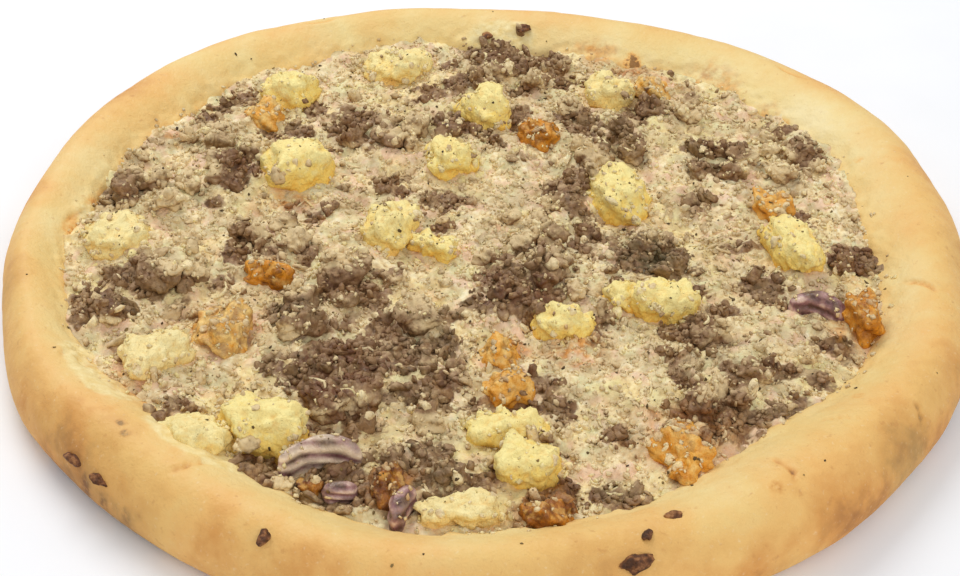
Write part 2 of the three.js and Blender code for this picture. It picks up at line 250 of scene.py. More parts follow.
class Wire:
    # one output in a material's tree; sums and products of wires and numbers add Math nodes

    def __init__(self, tree, socket=None):
        self.tree = tree
        self.socket = socket

    def node(self, kind, settings=None, sockets=None, output=0):
        # a new node: first its settings, then a value or a wire for each socket
        made = self.tree.nodes.new(kind)
        for name, value in (settings or {}).items():
            if name == "stops":
                for index, (position, colour) in enumerate(value):
                    stops = made.color_ramp.elements
                    stop = stops[index] if index < 2 else stops.new(position)
                    stop.position = position
                    stop.color = colour
            else:
                setattr(made, name, value)
        for name, value in (sockets or {}).items():
            if isinstance(value, Wire):
                self.tree.links.new(value.socket, made.inputs[name])
            else:
                made.inputs[name].default_value = value
        return Wire(self.tree, made.outputs[output] if made.outputs else None)

    def math(self, operation, first, second):
        return self.node("ShaderNodeMath", {"operation": operation}, {0: first, 1: second})

    def __add__(self, other):
        return self.math("ADD", self, other)

    def __sub__(self, other):
        return self.math("SUBTRACT", self, other)

    def __rsub__(self, other):
        return self.math("SUBTRACT", other, self)

    def __mul__(self, other):
        return self.math("MULTIPLY", self, other)

    __radd__ = __add__
    __rmul__ = __mul__

    def step(self, low, high):
        # 0 below low and 1 above high, smoothly
        settings = {"interpolation_type": "SMOOTHSTEP"}
        return self.node("ShaderNodeMapRange", settings, {"Value": self, "From Min": low, "From Max": high})

    def ramp(self, *stops):
        # colours along a value: each stop is a position and a colour as it looks
        stops = [(position, paint(*colour)) for position, *colour in stops]
        return self.node("ShaderNodeValToRGB", {"stops": stops}, {"Fac": self})

    def over(self, base, colour):
        # this much of a colour laid over a base
        return self.node("ShaderNodeMix", {"data_type": "RGBA"}, {0: self, 6: base, 7: colour}, 2)

    def attribute(self, name):
        return self.node("ShaderNodeAttribute", {"attribute_name": name}, {}, "Fac")

    def noise(self, length, detail=2, shift=0):
        # noise from 0 to 1 on Object coordinates, with features about this many mm long
        place = self.node("ShaderNodeTexCoord", {}, {}, "Object")
        if shift:
            place = self.node("ShaderNodeVectorMath", {"operation": "ADD"}, {0: place, 1: (shift,) * 3})
        sockets = {"Vector": place, "Scale": 1 / (length * metres), "Detail": detail}
        return self.node("ShaderNodeTexNoise", {}, sockets)

    def mottle(self, length, detail=4, shift=0):
        # the same noise, stretched until it fills 0 to 1
        return self.noise(length, detail, shift).step(0.32, 0.68)

    def grains(self, length):
        # grains packed side by side, each about this many mm across: how high they stand, 1 on top and 0
        # between, and a shade for each; their places are moved by noise so that they are uneven
        place = self.node("ShaderNodeTexCoord", {}, {}, "Object")
        scale = 1 / (length * metres)
        sway = self.node("ShaderNodeTexNoise", {}, {"Vector": place, "Scale": scale, "Detail": 2}, "Color")
        sockets = {0: sway, 1: (0.9 / scale,) * 3, 2: place}
        place = self.node("ShaderNodeVectorMath", {"operation": "MULTIPLY_ADD"}, sockets)
        cells = self.node("ShaderNodeTexVoronoi", {}, {"Vector": place, "Scale": scale}, "Distance")
        shade = Wire(self.tree, cells.socket.node.outputs["Color"])
        return 1 - cells, shade

    def facingUp(self):
        # 1 where the surface looks up, -1 where it looks down
        normal = self.node("ShaderNodeNewGeometry", {}, {}, "Normal")
        return self.node("ShaderNodeSeparateXYZ", {}, {0: normal}, "Z")

    def surface(self, colour, roughness, relief, depth, shine=0.3):
        # the shader: relief is a height from 0 to 1 that stands depth mm proud
        bump = self.node("ShaderNodeBump", {}, {"Height": relief, "Strength": 1, "Distance": depth * metres})
        sockets = {"Base Color": colour, "Roughness": roughness, "Normal": bump, "Specular IOR Level": shine}
        shader = self.node("ShaderNodeBsdfPrincipled", {}, sockets)
        self.node("ShaderNodeOutputMaterial", {}, {"Surface": shader})


def newMaterial(name):
    # an empty material and a wire into its tree
    material = bpy.data.materials.new(name)
    material.use_nodes = True
    material.node_tree.nodes.clear()
    return material, Wire(material.node_tree)


def veiled(tree, colour, share):
    # thin brown juice and fat that lie over everything here and there
    veil = (0.7 * tree.mottle(8, 4, 3.3) + 0.3 * tree.mottle(2.6, 4, 7.3)).step(0.3, 0.75) * share
    juice = tree.mottle(3, 3, 4.6).ramp((0.2, 150, 120, 84), (0.8, 186, 154, 114))
    return veil.over(colour, juice)


def oiledAndShaded(tree, colour, share):
    # amber stains of oil, which in places also paint shade: along the rim's inner wall and at the foot of
    # lumps
    stainAndShade = tree.attribute("oilAndShade") * tree.mottle(3.2, 4, 6.1) * share
    amber = tree.mottle(2.4, 3).ramp((0.1, 176, 104, 30), (0.9, 230, 158, 72))
    return stainAndShade.over(colour, amber)


# Camera, at the photograph's angle

camera = {
    "distance": 460,
    "elevation": 36.79,
    "target": (-1.8, -19.5, 10),
    "roll": 0.89,
    "focalPixels": 1642,  # for a picture 960 pixels wide
    "pictureWidth": 960,
    "pictureHeight": 576,
    "sensorWidth": 36,
}


def cameraAxes():
    # right, up and back of the camera: level, looking down by the elevation, then turned by the roll
    elevation, roll = np.radians(camera["elevation"]), np.radians(camera["roll"])
    back = np.array([0, -np.cos(elevation), np.sin(elevation)])
    right = np.array([1.0, 0, 0])
    up = np.cross(back, right)
    return right * np.cos(roll) + up * np.sin(roll), up * np.cos(roll) - right * np.sin(roll), back


def placesOf(pixels, height):
    # where rays through pixels of the photograph meet the level plane at this height: pixel x, y and more in
    # each row, the plane's x, y and the same more out
    rows = np.array(pixels, float)
    right, up, back = cameraAxes()
    eye = np.array(camera["target"]) + back * camera["distance"]
    across = (rows[:, :1] - camera["pictureWidth"] / 2) / camera["focalPixels"]
    down = (rows[:, 1:2] - camera["pictureHeight"] / 2) / camera["focalPixels"]
    ray = across * right - down * up - back
    places = eye + ray * ((height - eye[2]) / ray[:, 2:])
    return np.concatenate([places[:, :2], rows[:, 2:]], axis=1)


def makeCamera():
    # lens = focal length in pixels x the sensor's width / the picture's width in pixels
    right, up, back = cameraAxes()
    data = bpy.data.cameras.new("photoView")
    data.sensor_width = camera["sensorWidth"]
    data.lens = camera["focalPixels"] * camera["sensorWidth"] / camera["pictureWidth"]
    view = addObject("photoView", data)
    place = (Vector(camera["target"]) + Vector(back) * camera["distance"]) * metres
    view.matrix_world = Matrix.Translation(place) @ Matrix((right, up, back)).transposed().to_4x4()
    bpy.context.scene.camera = view


# Dough: floor and rim in one

dough = {
    "outerRadius": 140,
    "rimWidth": 25.2,
    "rimHeight": 21,
    "floorHeight": 5.5,
    "outlineLobes": [(3, 2.9, 26), (4, 2.2, 40), (5, 0.6, -26), (9, 0.5, 14), (14, 0.35, 3)],
    "widthLobes": [(1, 3.3, -9), (3, 0.9, 31), (4, 2.5, -44), (5, 1.9, 13), (6, 0.9, 5), (13, 0.6, 8)],
    "heightLobes": [(2, 0.7, 70), (5, 0.7, 10), (9, 0.4, 31)],
    # section of the rim: share of its width in from the edge, share of its height up
    "section": [(0.33, 0), (0.14, 0.05), (0.03, 0.19), (0, 0.38), (0.03, 0.6), (0.12, 0.8), (0.26, 0.94),
                (0.42, 1), (0.58, 0.96), (0.74, 0.86), (0.88, 0.73), (1, 0.6), (1.07, 0.44), (1.1, 0.29)],
    "sideEdge": 3,  # the point of the section furthest out
    "crest": 7,  # its highest point
    "toppingEdge": 11,  # the point where the topping meets the rim
    "steps": 640,  # round the pizza
    "rowsBelow": 10,
    "rowsShown": 60,
    "rowsUnderTopping": 3,
    "undersideRings": 10,
    "floorRings": 2,
    # waves of the skin, its ragged inner edge and cheese that ran up on it: length, height, layers, seed
    "waves": [(36, 0.75, 1, 11), (17, 0.35, 1, 12), (8, 0.16, 1, 13), (3.2, 0.07, 1, 14)],
    "ragged": [(7, 0.8, 3, 31), (2.4, 0.35, 2, 37)],
    "cheeseWaves": [(4, 0.5, 3, 41)],
    "cheeseHeight": 0.5,
    "pulledIn": 0.55,  # at the outer side, so that the skin's waves stay inside the CAD part's box
    # creases where the dough was rolled over: place, length, turn in degrees, bow, width, depth
    "creases": [
        (70, -104, 9, -62, 1.4, 1.3, 0.9),
        (-69, -105, 11, 40, -0.6, 1.2, 0.7),
        (-119, 7, 11, 62, 0.8, 1.5, 0.8),
        (118, -28, 11, -48, 1.0, 1.3, 0.8),
        (-107, -61, 9, 74, 0.8, 1.4, 0.7),
        (108, -78, 6, -70, 0.4, 1.1, 0.5),
        (87, -84, 11, -8, 0.5, 1.0, 0.35),
        (-58, 118, 12, 200, 0.8, 1.4, 0.6),
        (99, 88, 12, 130, 0.9, 1.3, 0.6),
        (20, 128, 10, 165, -0.7, 1.2, 0.5),
    ],
    # how browned it is across the rim, from its outer edge in: share of the width, strength
    "toast": [(0, 0.64), (0.1, 0.6), (0.3, 0.53), (0.5, 0.44), (0.68, 0.34), (0.86, 0.27), (1, 0.36)],
    "toastLobes": [(1, 0.05, 262), (2, 0.03, 150), (3, 0.03, 95)],
    # browner patches: place, reach, strength
    "blotches": [(-62, 104, 14, 0.24), (-84, 88, 10, 0.2), (-108, 62, 15, 0.2), (-126, -24, 18, 0.1),
                 (-92, -96, 22, 0.12), (126, 22, 18, 0.1), (118, -60, 18, 0.16), (28, -124, 16, 0.1),
                 (60, 118, 12, 0.16), (110, 84, 10, 0.2), (96, -96, 26, 0.16), (130, -20, 24, 0.08),
                 (-40, 124, 12, 0.14), (-72, 98, 9, 0.22), (-98, 78, 9, 0.2), (-133, 10, 10, 0.12),
                 (-30, -127, 18, 0.12)],
    # cheese that ran up on the rim: place, reach
    "spills": [(-72, -92, 13), (-63, -97, 9), (-97, -72, 12), (-101, -60, 10), (-112, 8, 9), (4, 112, 12)],
    # orange oil that seeped into its inner side, and painted shade along the back of the inner wall: pixel of
    # the photograph, reach in mm, strength
    "oilAndShade": [
        (640, 86, 7, 0.9), (657, 93, 6, 0.9), (675, 100, 6, 0.8), (698, 110, 6, 0.7), (612, 66, 6, 0.6),
        (592, 60, 5, 0.6), (172, 138, 6, 0.8), (163, 150, 5, 0.8), (185, 148, 6, 0.7), (118, 368, 6, 0.8),
        (134, 382, 6, 0.9), (141, 397, 5, 0.7), (98, 362, 5, 0.5), (776, 120, 5, 0.6), (238, 106, 6, 0.5),
        (786, 132, 6, 0.6), (812, 152, 6, 0.6), (834, 180, 6, 0.5), (626, 76, 7, 0.8), (686, 106, 6, 0.8),
        (580, 58, 6, 0.5), (798, 142, 6, 0.6), (822, 166, 6, 0.6), (692, 80, 8, 1.1), (708, 78, 8, 0.9),
        (722, 84, 7, 0.8), (660, 74, 7, 1.1), (668, 80, 6, 1), (765, 106, 5, 0.6), (590, 54, 5, 0.9),
        (575, 52, 4, 0.7), (606, 55, 4, 0.7),
    ],
    # small burnt marks: pixel of the photograph, reach in mm, strength
    "marks": [
        (121, 156, 1, 0.4), (162, 166, 1, 0.4), (124, 442, 1.1, 0.4), (128, 452, 1.3, 0.3),
        (773, 505, 1.5, 0.3), (857, 402, 1.5, 0.25), (60, 462, 2, 0.5), (72, 470, 2.2, 0.5),
        (88, 486, 2.4, 0.5), (100, 497, 2.4, 0.5), (112, 502, 2, 0.4), (858, 165, 1.3, 0.25),
    ],
    # painted shade where the topping meets its inner side, with brown juices baked there: pixel of the
    # photograph, reach in mm, strength
    "juicesAndShade": [
        (632, 61, 3, 1), (780, 117, 3, 0.8), (824, 164, 4, 0.7), (836, 180, 4, 0.7), (815, 154, 3, 0.8),
        (668, 78, 4, 0.7), (195, 112, 4, 0.6), (142, 395, 3, 0.5), (660, 72, 4, 0.9), (641, 72, 3, 0.6),
        (648, 78, 3.5, 0.7), (656, 84, 4, 0.7), (665, 89, 4, 0.6), (676, 96, 4, 0.4), (760, 118, 3, 0.4),
        (769, 125, 3, 0.5), (780, 135, 3, 0.4), (802, 147, 4, 0.5), (811, 158, 4, 0.5), (820, 170, 4, 0.5),
        (830, 181, 4, 0.4), (838, 192, 4, 0.4), (846, 208, 4, 0.3), (108, 186, 4, 0.4), (98, 197, 4, 0.5),
        (90, 208, 4, 0.5), (82, 218, 4, 0.4), (72, 224, 3, 0.4), (178, 130, 4, 0.3), (196, 112, 4, 0.4),
        (206, 100, 4, 0.3), (610, 62, 4, 0.25), (592, 56, 4, 0.2),
    ],
    "markHeight": 16,  # where the photograph's places on the rim are taken
}


def sectionAt(angle):
    # distance from the centre = radius - share in x width, height = share up x height at each angle
    radius = (dough["outerRadius"] + lobeSum(dough["outlineLobes"], angle))[:, None]
    width = (dough["rimWidth"] + lobeSum(dough["widthLobes"], angle))[:, None]
    height = (dough["rimHeight"] + lobeSum(dough["heightLobes"], angle))[:, None]
    inShare, upShare = np.array(dough["section"]).T
    below = dough["floorHeight"] + (upShare - upShare[-1]) * height
    return np.stack([radius - inShare * width, np.where(inShare > 1, below, upShare * height)], -1)


def smoothThrough(points, knots, at):
    # a curve through points along axis 1: a cubic joins places and slopes at two knots, and the slope at a
    # knot is that of the parabola through it and its neighbours
    gaps = np.diff(knots)[:, None]
    rises = np.diff(points, axis=1) / gaps
    inner = (rises[:, :-1] * gaps[1:] + rises[:, 1:] * gaps[:-1]) / (gaps[1:] + gaps[:-1])
    slopes = np.concatenate([rises[:, :1], inner, rises[:, -1:]], axis=1)
    k = np.clip(np.searchsorted(knots, at, side="right") - 1, 0, len(gaps) - 1)
    t = ((at - knots[k]) / gaps[k, 0])[:, None]
    start = (1 + 2 * t) * (1 - t) ** 2 * points[:, k] + t * (1 - t) ** 2 * gaps[k] * slopes[:, k]
    return start + t * t * (3 - 2 * t) * points[:, k + 1] - t * t * (1 - t) * gaps[k] * slopes[:, k + 1]


def patchAt(x, y, patches):
    # the strongest of round patches, each (x, y, reach, strength), fading out by a smooth step
    total = np.zeros_like(x)
    for px, py, reach, strength in patches:
        total = np.maximum(total, strength * smoothStep(1.4 - np.hypot(x - px, y - py) / reach, 0, 1))
    return total


def creaseRelief(x, y):
    # each crease is a short bent stroke: a groove with a lip beside it, across the stroke as two bells
    total = np.zeros_like(x)
    for cx, cy, length, turn, bow, width, depth in dough["creases"]:
        turn = np.radians(turn)
        along = ((x - cx) * np.cos(turn) + (y - cy) * np.sin(turn)) / (length / 2)
        across = -(x - cx) * np.sin(turn) + (y - cy) * np.cos(turn) - bow * (1 - along**2)
        fade = smoothStep(1.2 - np.abs(along), 0, 0.7)
        groove = np.exp(-((across / (0.5 * width)) ** 2))
        lip = np.exp(-(((across - 1.1 * width) / (0.8 * width)) ** 2))
        total += depth * fade * (0.6 * lip - groove)
    return total


def doughShape():
    # rows run from under the centre out to the foot, up over the rim, down to the floor and in again
    angle = np.arange(dough["steps"]) * 2 * np.pi / dough["steps"]
    sections = sectionAt(angle)
    plan = np.array(dough["section"]) * (dough["rimWidth"], dough["rimHeight"])
    knots = np.concatenate([[0], np.cumsum(np.linalg.norm(np.diff(plan, axis=0), axis=1))])
    side, edge = knots[dough["sideEdge"]], knots[dough["toppingEdge"]]
    at = np.concatenate([
        np.linspace(0, side, dough["rowsBelow"], endpoint=False),
        np.linspace(side, edge, dough["rowsShown"], endpoint=False),
        np.linspace(edge, knots[-1], dough["rowsUnderTopping"]),
    ])
    shown = smoothThrough(sections, knots, at)
    inShare = np.interp(at, knots, np.array(dough["section"])[:, 0])
    rings = np.linspace(0, 1, dough["undersideRings"] + 1)[1:-1, None]
    below = np.stack([shown[:, 0, 0] * rings, np.zeros_like(rings) + 0 * angle], -1).transpose(1, 0, 2)
    rings = np.linspace(1, 0, dough["floorRings"] + 1)[1:-1, None]
    level = dough["floorHeight"] + 0 * rings * angle
    above = np.stack([shown[:, -1, 0] * rings, level], -1).transpose(1, 0, 2)
    r, z = np.concatenate([below, shown, above], axis=1).transpose(2, 1, 0)
    across = np.concatenate([np.zeros(below.shape[1]), inShare, np.full(above.shape[1], 1.1)])[:, None]
    points = np.stack([r * np.cos(angle), r * np.sin(angle), z], -1)
    return points, across + 0 * angle


def gridNormals(points):
    # cross product of the steps along the columns, which close up, and the rows
    along = np.roll(points, -1, axis=1) - np.roll(points, 1, axis=1)
    up = np.gradient(points, axis=0)
    normals = np.cross(along, up)
    return normals / np.maximum(np.linalg.norm(normals, axis=-1), 1e-9)[..., None]


def bakedDough():
    # browned as its toast value says, with burnt marks, and with painted shade at the foot, in the creases
    # and along the inner wall; flour, freckles, melted cheese and oil that holds painted shade in places are
    # laid over it in turn
    material, tree = newMaterial("bakedDough")
    across = tree.attribute("across")
    mottled = 0.12 * (tree.mottle(13, 3, 2.6) - 0.5) + 0.07 * (tree.mottle(4, 4) - 0.5)
    # burnt marks, and painted shade along the inner wall where the topping meets it
    burntAndShade = tree.attribute("burntAndShade") * (0.3 + tree.mottle(1.5, 3, 4.8))
    toast = tree.attribute("toast") + mottled + burntAndShade
    colour = toast.ramp(
        (0, 246, 231, 184), (0.22, 240, 216, 153), (0.42, 237, 199, 128),
        (0.6, 236, 183, 107), (0.78, 216, 152, 78), (1, 128, 74, 34),
    )
    colour = (tree.mottle(24, 3, 5.3) * 0.28).over(colour, paint(232, 204, 124))
    flour = tree.noise(1.1, 3).step(0.6, 0.8) * 0.25
    colour = flour.over(colour, paint(248, 232, 196))
    freckles = (tree.noise(2, 3, 3.1) + 0.08 * toast).step(0.68, 0.8) * 0.35
    colour = freckles.over(colour, paint(190, 128, 68))
    cheese = (tree.attribute("cheese") + 0.7 * (tree.noise(5, 4) - 0.5)).step(0.3, 0.6)
    melt = tree.noise(2.2, 4).ramp((0.3, 232, 202, 128), (0.7, 250, 234, 178))
    colour = (cheese * 0.85).over(colour, melt)
    # oil stains, with painted shade along the back of the inner wall
    colour = oiledAndShaded(tree, colour, 0.8)
    roughness = 0.62 + 0.16 * tree.noise(6, 3) - 0.16 * across.step(0.95, 0.7) * across.step(0.1, 0.4)
    relief = 0.6 * tree.mottle(1.9, 5) + 0.4 * tree.mottle(0.7, 3)
    tree.surface(colour, roughness, relief, 0.14, 0.4)
    return material


def makeDough():
    # the turned section, moved along its normals by creases, waves of the skin and a ragged inner edge, and
    # how browned, cheesy, oily and burnt each point is, with painted shade at the foot, in the creases and
    # along the inner wall
    grid, across = doughShape()
    x, y, z = np.moveaxis(grid, -1, 0)
    normals = gridNormals(grid)
    lifted = smoothStep(z, 0.2, 4) * smoothStep(1.1 - across, 0, 0.1)
    relief = creaseRelief(x, y) - dough["pulledIn"] * smoothStep(0.32 - across, 0, 0.2)
    relief = relief + noiseSum(grid, dough["waves"])
    cheese = patchAt(x, y, [(*spill, 1) for spill in dough["spills"]]) * smoothStep(across, 0.45, 0.75)
    lip = smoothStep(across, 0.72, 0.92)  # the inner edge is ragged, with dough and cheese stuck to it
    relief = relief + lip * noiseSum(grid, dough["ragged"])
    relief = relief + cheese * (dough["cheeseHeight"] + noiseSum(grid, dough["cheeseWaves"]))
    grid = grid + normals * (relief * lifted)[..., None]
    grid[..., 2] = np.maximum(grid[..., 2], 0)
    angle = np.arctan2(y, x)
    toast = np.interp(across, *np.array(dough["toast"]).T)
    toast = toast + lobeSum(dough["toastLobes"], angle) + patchAt(x, y, dough["blotches"])
    # the lowest 5 mm of the outer side is browner: baked darker there, and painted shade where it meets the
    # floor
    toast = toast + 0.14 * roughNoise(grid, 30, 2, 51) + 0.2 * smoothStep(5 - z, 0, 5) * (across < 0.5)
    # painted shade: browner in the grooves of the creases
    toast = toast + 0.5 * np.clip(-creaseRelief(x, y), 0, 1)
    spots = (placesOf(dough[key], dough["markHeight"]) for key in ("marks", "juicesAndShade", "oilAndShade"))
    marks, juicesAndShade, oilAndShade = (patchAt(x, y, patches) for patches in spots)
    # burnt marks, and painted shade along the inner wall where the topping meets it
    burntAndShade = np.maximum(marks * (z > 1), juicesAndShade * smoothStep(across, 0.6, 0.85))
    under = z < 0.01
    toast = np.where(under, 0.6 + 0.3 * roughNoise(grid, 22, 3, 61), toast)
    points = np.concatenate([grid.reshape(-1, 3), [(0, 0, 0), (0, 0, dough["floorHeight"])]])
    # each value over the grid, then at the two poles
    values = {
        "across": (across, [0, 1.1]),
        "toast": (toast, [0.6, 0.3]),
        "cheese": (cheese, [0, 0]),
        "oilAndShade": (oilAndShade * (across > 0.4), [0, 0]),
        "burntAndShade": (burntAndShade, [0, 0]),
    }
    values = {key: np.append(over.ravel(), poles) for key, (over, poles) in values.items()}
    faces = gridFaces(*grid.shape[:2])
    makePiece("baked_crust", points, faces, bakedDough(), values, "crust")
    print("dough:", len(faces), "triangles")
    return points, faces


# Bed of mince and grated cheese

bed = {
    "height": 12.6,  # between the mounds
    "steps": 300,  # across and along
    "waves": [(61, 0.6, 20), (37, 0.5, 105), (23, 0.35, 160), (15, 0.25, 55)],  # length, height, turn
    # mounds: place, reach, how high they stand over the rest
    "mounds": [
        (-102, -34, 15, 2.6), (-88, -22, 18, 2.4), (-66, -7, 15, 2), (-50, -37, 13, 2), (-36, -26, 18, 2.2),
        (-41, -66, 20, 2.6), (-30, -96, 18, 2.4), (-9, -96, 15, 2), (12, -22, 20, 2.4), (45, -10, 17, 2),
        (24, 24, 14, 2), (60, -76, 17, 2.6), (68, -50, 17, 2.4), (98, -14, 13, 2.2), (70, 45, 15, 2.2),
        (96, 42, 13, 2), (36, 57, 19, 2.6), (54, 72, 14, 2), (7, 101, 17, 2.6), (-10, 86, 15, 2),
        (-34, 52, 15, 2), (-26, 23, 12, 1.8), (-76, 38, 17, 2.4), (-84, 64, 14, 2), (-100, 20, 13, 2),
        (-72, -78, 11, 1.6),
    ],
    # clusters of fried mince: pixel of the photograph across and down, reach in mm
    "clusters": [
        (406, 373, 4), (202, 404, 4), (590, 494, 5), (561, 410, 5), (700, 322, 3.5), (432, 500, 4),
        (232, 254, 5), (215, 108, 7), (243, 95, 5), (125, 187, 8), (245, 165, 9), (238, 182, 6),
        (285, 130, 8), (350, 118, 8), (350, 140, 8), (205, 205, 5), (390, 148, 6), (393, 187, 6),
        (312, 213, 6), (247, 236, 6), (268, 248, 5), (310, 255, 5), (125, 270, 8), (150, 285, 8),
        (190, 283, 6), (95, 300, 9), (122, 304, 6), (222, 278, 5), (487, 50, 8), (515, 60, 9), (540, 57, 7),
        (463, 82, 7), (430, 90, 6), (563, 78, 7), (520, 88, 5), (455, 122, 8), (512, 115, 6), (497, 138, 5),
        (570, 110, 7), (595, 127, 8), (625, 140, 10), (640, 110, 9), (700, 146, 7), (730, 146, 7),
        (715, 165, 6), (565, 187, 9), (447, 200, 8), (438, 224, 6), (527, 248, 6), (583, 238, 7),
        (640, 255, 11), (668, 258, 8), (705, 205, 6), (785, 133, 6), (808, 152, 7), (805, 220, 5),
        (855, 260, 10), (742, 245, 5), (770, 290, 8), (727, 310, 5), (350, 288, 12), (300, 310, 9),
        (387, 328, 6), (520, 285, 14), (495, 295, 8), (425, 350, 10), (330, 360, 14), (370, 368, 8),
        (325, 388, 10), (285, 378, 7), (345, 425, 9), (312, 427, 5), (365, 410, 5), (600, 325, 6),
        (670, 333, 7), (706, 346, 7), (685, 375, 7), (742, 378, 6), (780, 372, 7), (702, 415, 10),
        (748, 405, 8), (778, 413, 6), (838, 345, 5), (430, 392, 8), (395, 393, 6), (465, 400, 5),
        (527, 400, 6), (545, 388, 5), (618, 440, 5), (552, 446, 5), (430, 447, 8), (455, 475, 10),
        (405, 468, 8), (495, 468, 5), (345, 480, 12), (260, 470, 7), (185, 408, 6), (550, 487, 7),
        (620, 500, 6), (525, 408, 6), (273, 373, 7), (826, 385, 6), (242, 467, 6), (537, 300, 5),
        (772, 285, 5), (454, 326, 6), (552, 503, 6), (752, 434, 6), (314, 104, 6), (336, 329, 6),
        (465, 89, 5), (467, 489, 5), (548, 383, 5), (400, 475, 5), (769, 282, 5),
        (619, 285, 3), (836, 339, 5), (477, 294, 5), (592, 493, 5), (339, 471, 4), (372, 381, 4),
        (158, 421, 4), (311, 385, 4), (697, 289, 4), (649, 124, 4), (400, 269, 4), (359, 340, 4),
        (451, 340, 4), (577, 208, 4), (851, 248, 4), (548, 192, 3), (421, 99, 4), (130, 308, 4),
        (726, 364, 4), (735, 306, 4), (80, 322, 4), (334, 200, 4), (727, 417, 5), (537, 376, 5),
        (96, 287, 4), (464, 298, 5), (805, 401, 5), (749, 284, 4), (711, 196, 4), (449, 63, 4),
        (323, 474, 6),
    ],
    # gaps between them, filled with cheese: pixel across and down, reach in mm
    "gaps": [
        (438, 362, 3), (569, 447, 3), (763, 392, 6), (435, 428, 6), (197, 267, 7), (767, 155, 6),
        (512, 240, 6), (286, 336, 5), (507, 220, 6), (272, 289, 6), (381, 154, 5), (188, 186, 6),
        (161, 206, 6), (764, 138, 5), (85, 277, 6), (533, 430, 5), (214, 168, 5), (871, 284, 5),
        (697, 365, 5), (331, 256, 5), (197, 137, 5), (478, 441, 4), (760, 169, 5), (284, 481, 5),
        (297, 286, 5), (569, 107, 5), (265, 232, 5), (413, 426, 5), (505, 515, 4), (453, 524, 4),
        (403, 155, 5), (839, 361, 5), (350, 405, 4), (248, 329, 5), (276, 289, 5), (283, 334, 5),
        (505, 219, 5), (760, 162, 5), (761, 137, 5), (504, 517, 5), (159, 209, 5), (323, 417, 4),
        (436, 327, 4), (452, 525, 4), (216, 214, 5), (197, 260, 4), (653, 241, 4),
        (334, 259, 4), (439, 426, 4), (114, 324, 4), (300, 286, 4), (289, 447, 5),
        (484, 458, 4), (781, 157, 4), (350, 146, 3), (787, 259, 4), (342, 258, 4), (218, 211, 4),
        (726, 443, 3), (873, 279, 4), (686, 137, 5), (705, 392, 4),
    ],
    # where the mince lies bare and darkest, some of them shaded hollows where the dark mince also paints the
    # shade: pixel across and down, reach in mm, strength
    "darkest": [
        (575, 83, 5, 0.9), (722, 413, 6, 0.8), (96, 290, 5, 0.8), (590, 494, 4, 0.9), (561, 410, 5, 0.8),
        (700, 148, 5, 0.8), (700, 322, 3.5, 0.8), (432, 500, 4, 0.8), (232, 254, 5, 0.8),
        (673, 354, 4, 0.8), (477, 295, 4, 0.9), (592, 490, 4, 0.9), (532, 305, 4, 0.9), (697, 290, 4, 0.9),
        (363, 381, 4, 0.9), (157, 421, 4, 0.8), (547, 191, 3, 0.8), (317, 394, 4, 0.9), (212, 117, 4, 0.9),
        (512, 67, 5, 0.9), (620, 281, 4, 0.9), (402, 476, 5, 1), (770, 281, 6, 1), (491, 58, 7, 1),
        (128, 309, 5, 1), (525, 409, 5, 1), (334, 197, 4, 1), (838, 337, 5, 1), (550, 500, 6, 1),
        (534, 299, 5, 1), (242, 466, 6, 1), (80, 318, 4, 1), (560, 490, 5, 1), (332, 470, 6, 1),
        (452, 340, 4, 0.8), (745, 175, 5, 0.8), (858, 258, 6, 0.8), (240, 164, 5, 0.8),
    ],
    # places stained amber by oil, with painted shade at the foot of a lump: pixel across and down, reach in
    # mm, strength
    "oilAndShade": [
        (263, 110, 5, 0.6), (290, 197, 6, 0.8), (268, 268, 5, 0.8), (542, 128, 6, 0.7), (605, 57, 8, 0.7),
        (652, 80, 6, 0.6), (775, 202, 6, 0.5), (863, 322, 9, 0.8), (510, 346, 6, 0.8), (575, 346, 8, 0.9),
        (502, 388, 6, 0.7), (215, 318, 12, 0.5), (680, 440, 14, 0.6), (395, 488, 8, 0.7), (540, 518, 7, 0.8),
        (172, 138, 5, 0.6), (128, 378, 6, 0.5), (552, 503, 6, 0.8), (633, 69, 6, 0.8), (248, 329, 5, 0.6),
    ],
    # where the mince is redder: pixel across and down, reach in mm, strength
    "redder": [
        (245, 165, 12, 0.8), (325, 362, 16, 1), (520, 285, 14, 0.6), (703, 418, 9, 0.6), (855, 262, 8, 0.5),
        (385, 187, 8, 0.3), (155, 400, 6, 0.5),
    ],
    # where it is greyer and greener, from herbs: pixel across and down, reach in mm, strength
    "greener": [
        (645, 250, 13, 1), (305, 308, 9, 0.6), (425, 350, 12, 0.6), (425, 458, 14, 0.6), (470, 310, 12, 0.5),
        (205, 205, 8, 0.5), (760, 285, 8, 0.4),
    ],
    # where cheese lies clean, or thickest, over the mince: pixel across and down, reach in mm, strength
    "creamy": [
        (230, 425, 15, 1), (100, 235, 13, 0.9), (434, 288, 9, 0.7), (520, 190, 13, 0.8), (668, 140, 9, 0.6),
        (610, 372, 14, 0.7), (190, 360, 14, 0.8), (772, 395, 7, 0.5), (597, 467, 8, 0.8), (330, 85, 9, 0.7),
        (760, 170, 9, 0.6), (180, 235, 9, 0.5),
    ],
    "blendFrom": 0.86,  # share of the way to the rim from which the top runs out to the edge's own height
    "edgeIn": 0.94,  # share of the rim's width at which the topping stops, on average
    "sunk": 0.5,
    # its border goes down inside the dough and closes under the middle: share of its reach, height
    "walls": [(0.985, 9), (0.93, 5.9)],
    "grains": (4.4, 2.3),  # lengths of the large and small domes of its skin
    # height of the large and the small domes, and how far down they start
    "minceDomes": (2.2, 1.3, 1.9),
    "cheeseDomes": (0.9, 1.1, 1.1),
    # what makes its skin and its edge uneven: length, height, layers, seed
    "skinWaves": [(9, 1.0, 3, 99), (2.1, 0.45, 1, 97)],
    "edgeWaves": [(16, 0.05, 3, 81), (4, 0.03, 2, 83)],
}
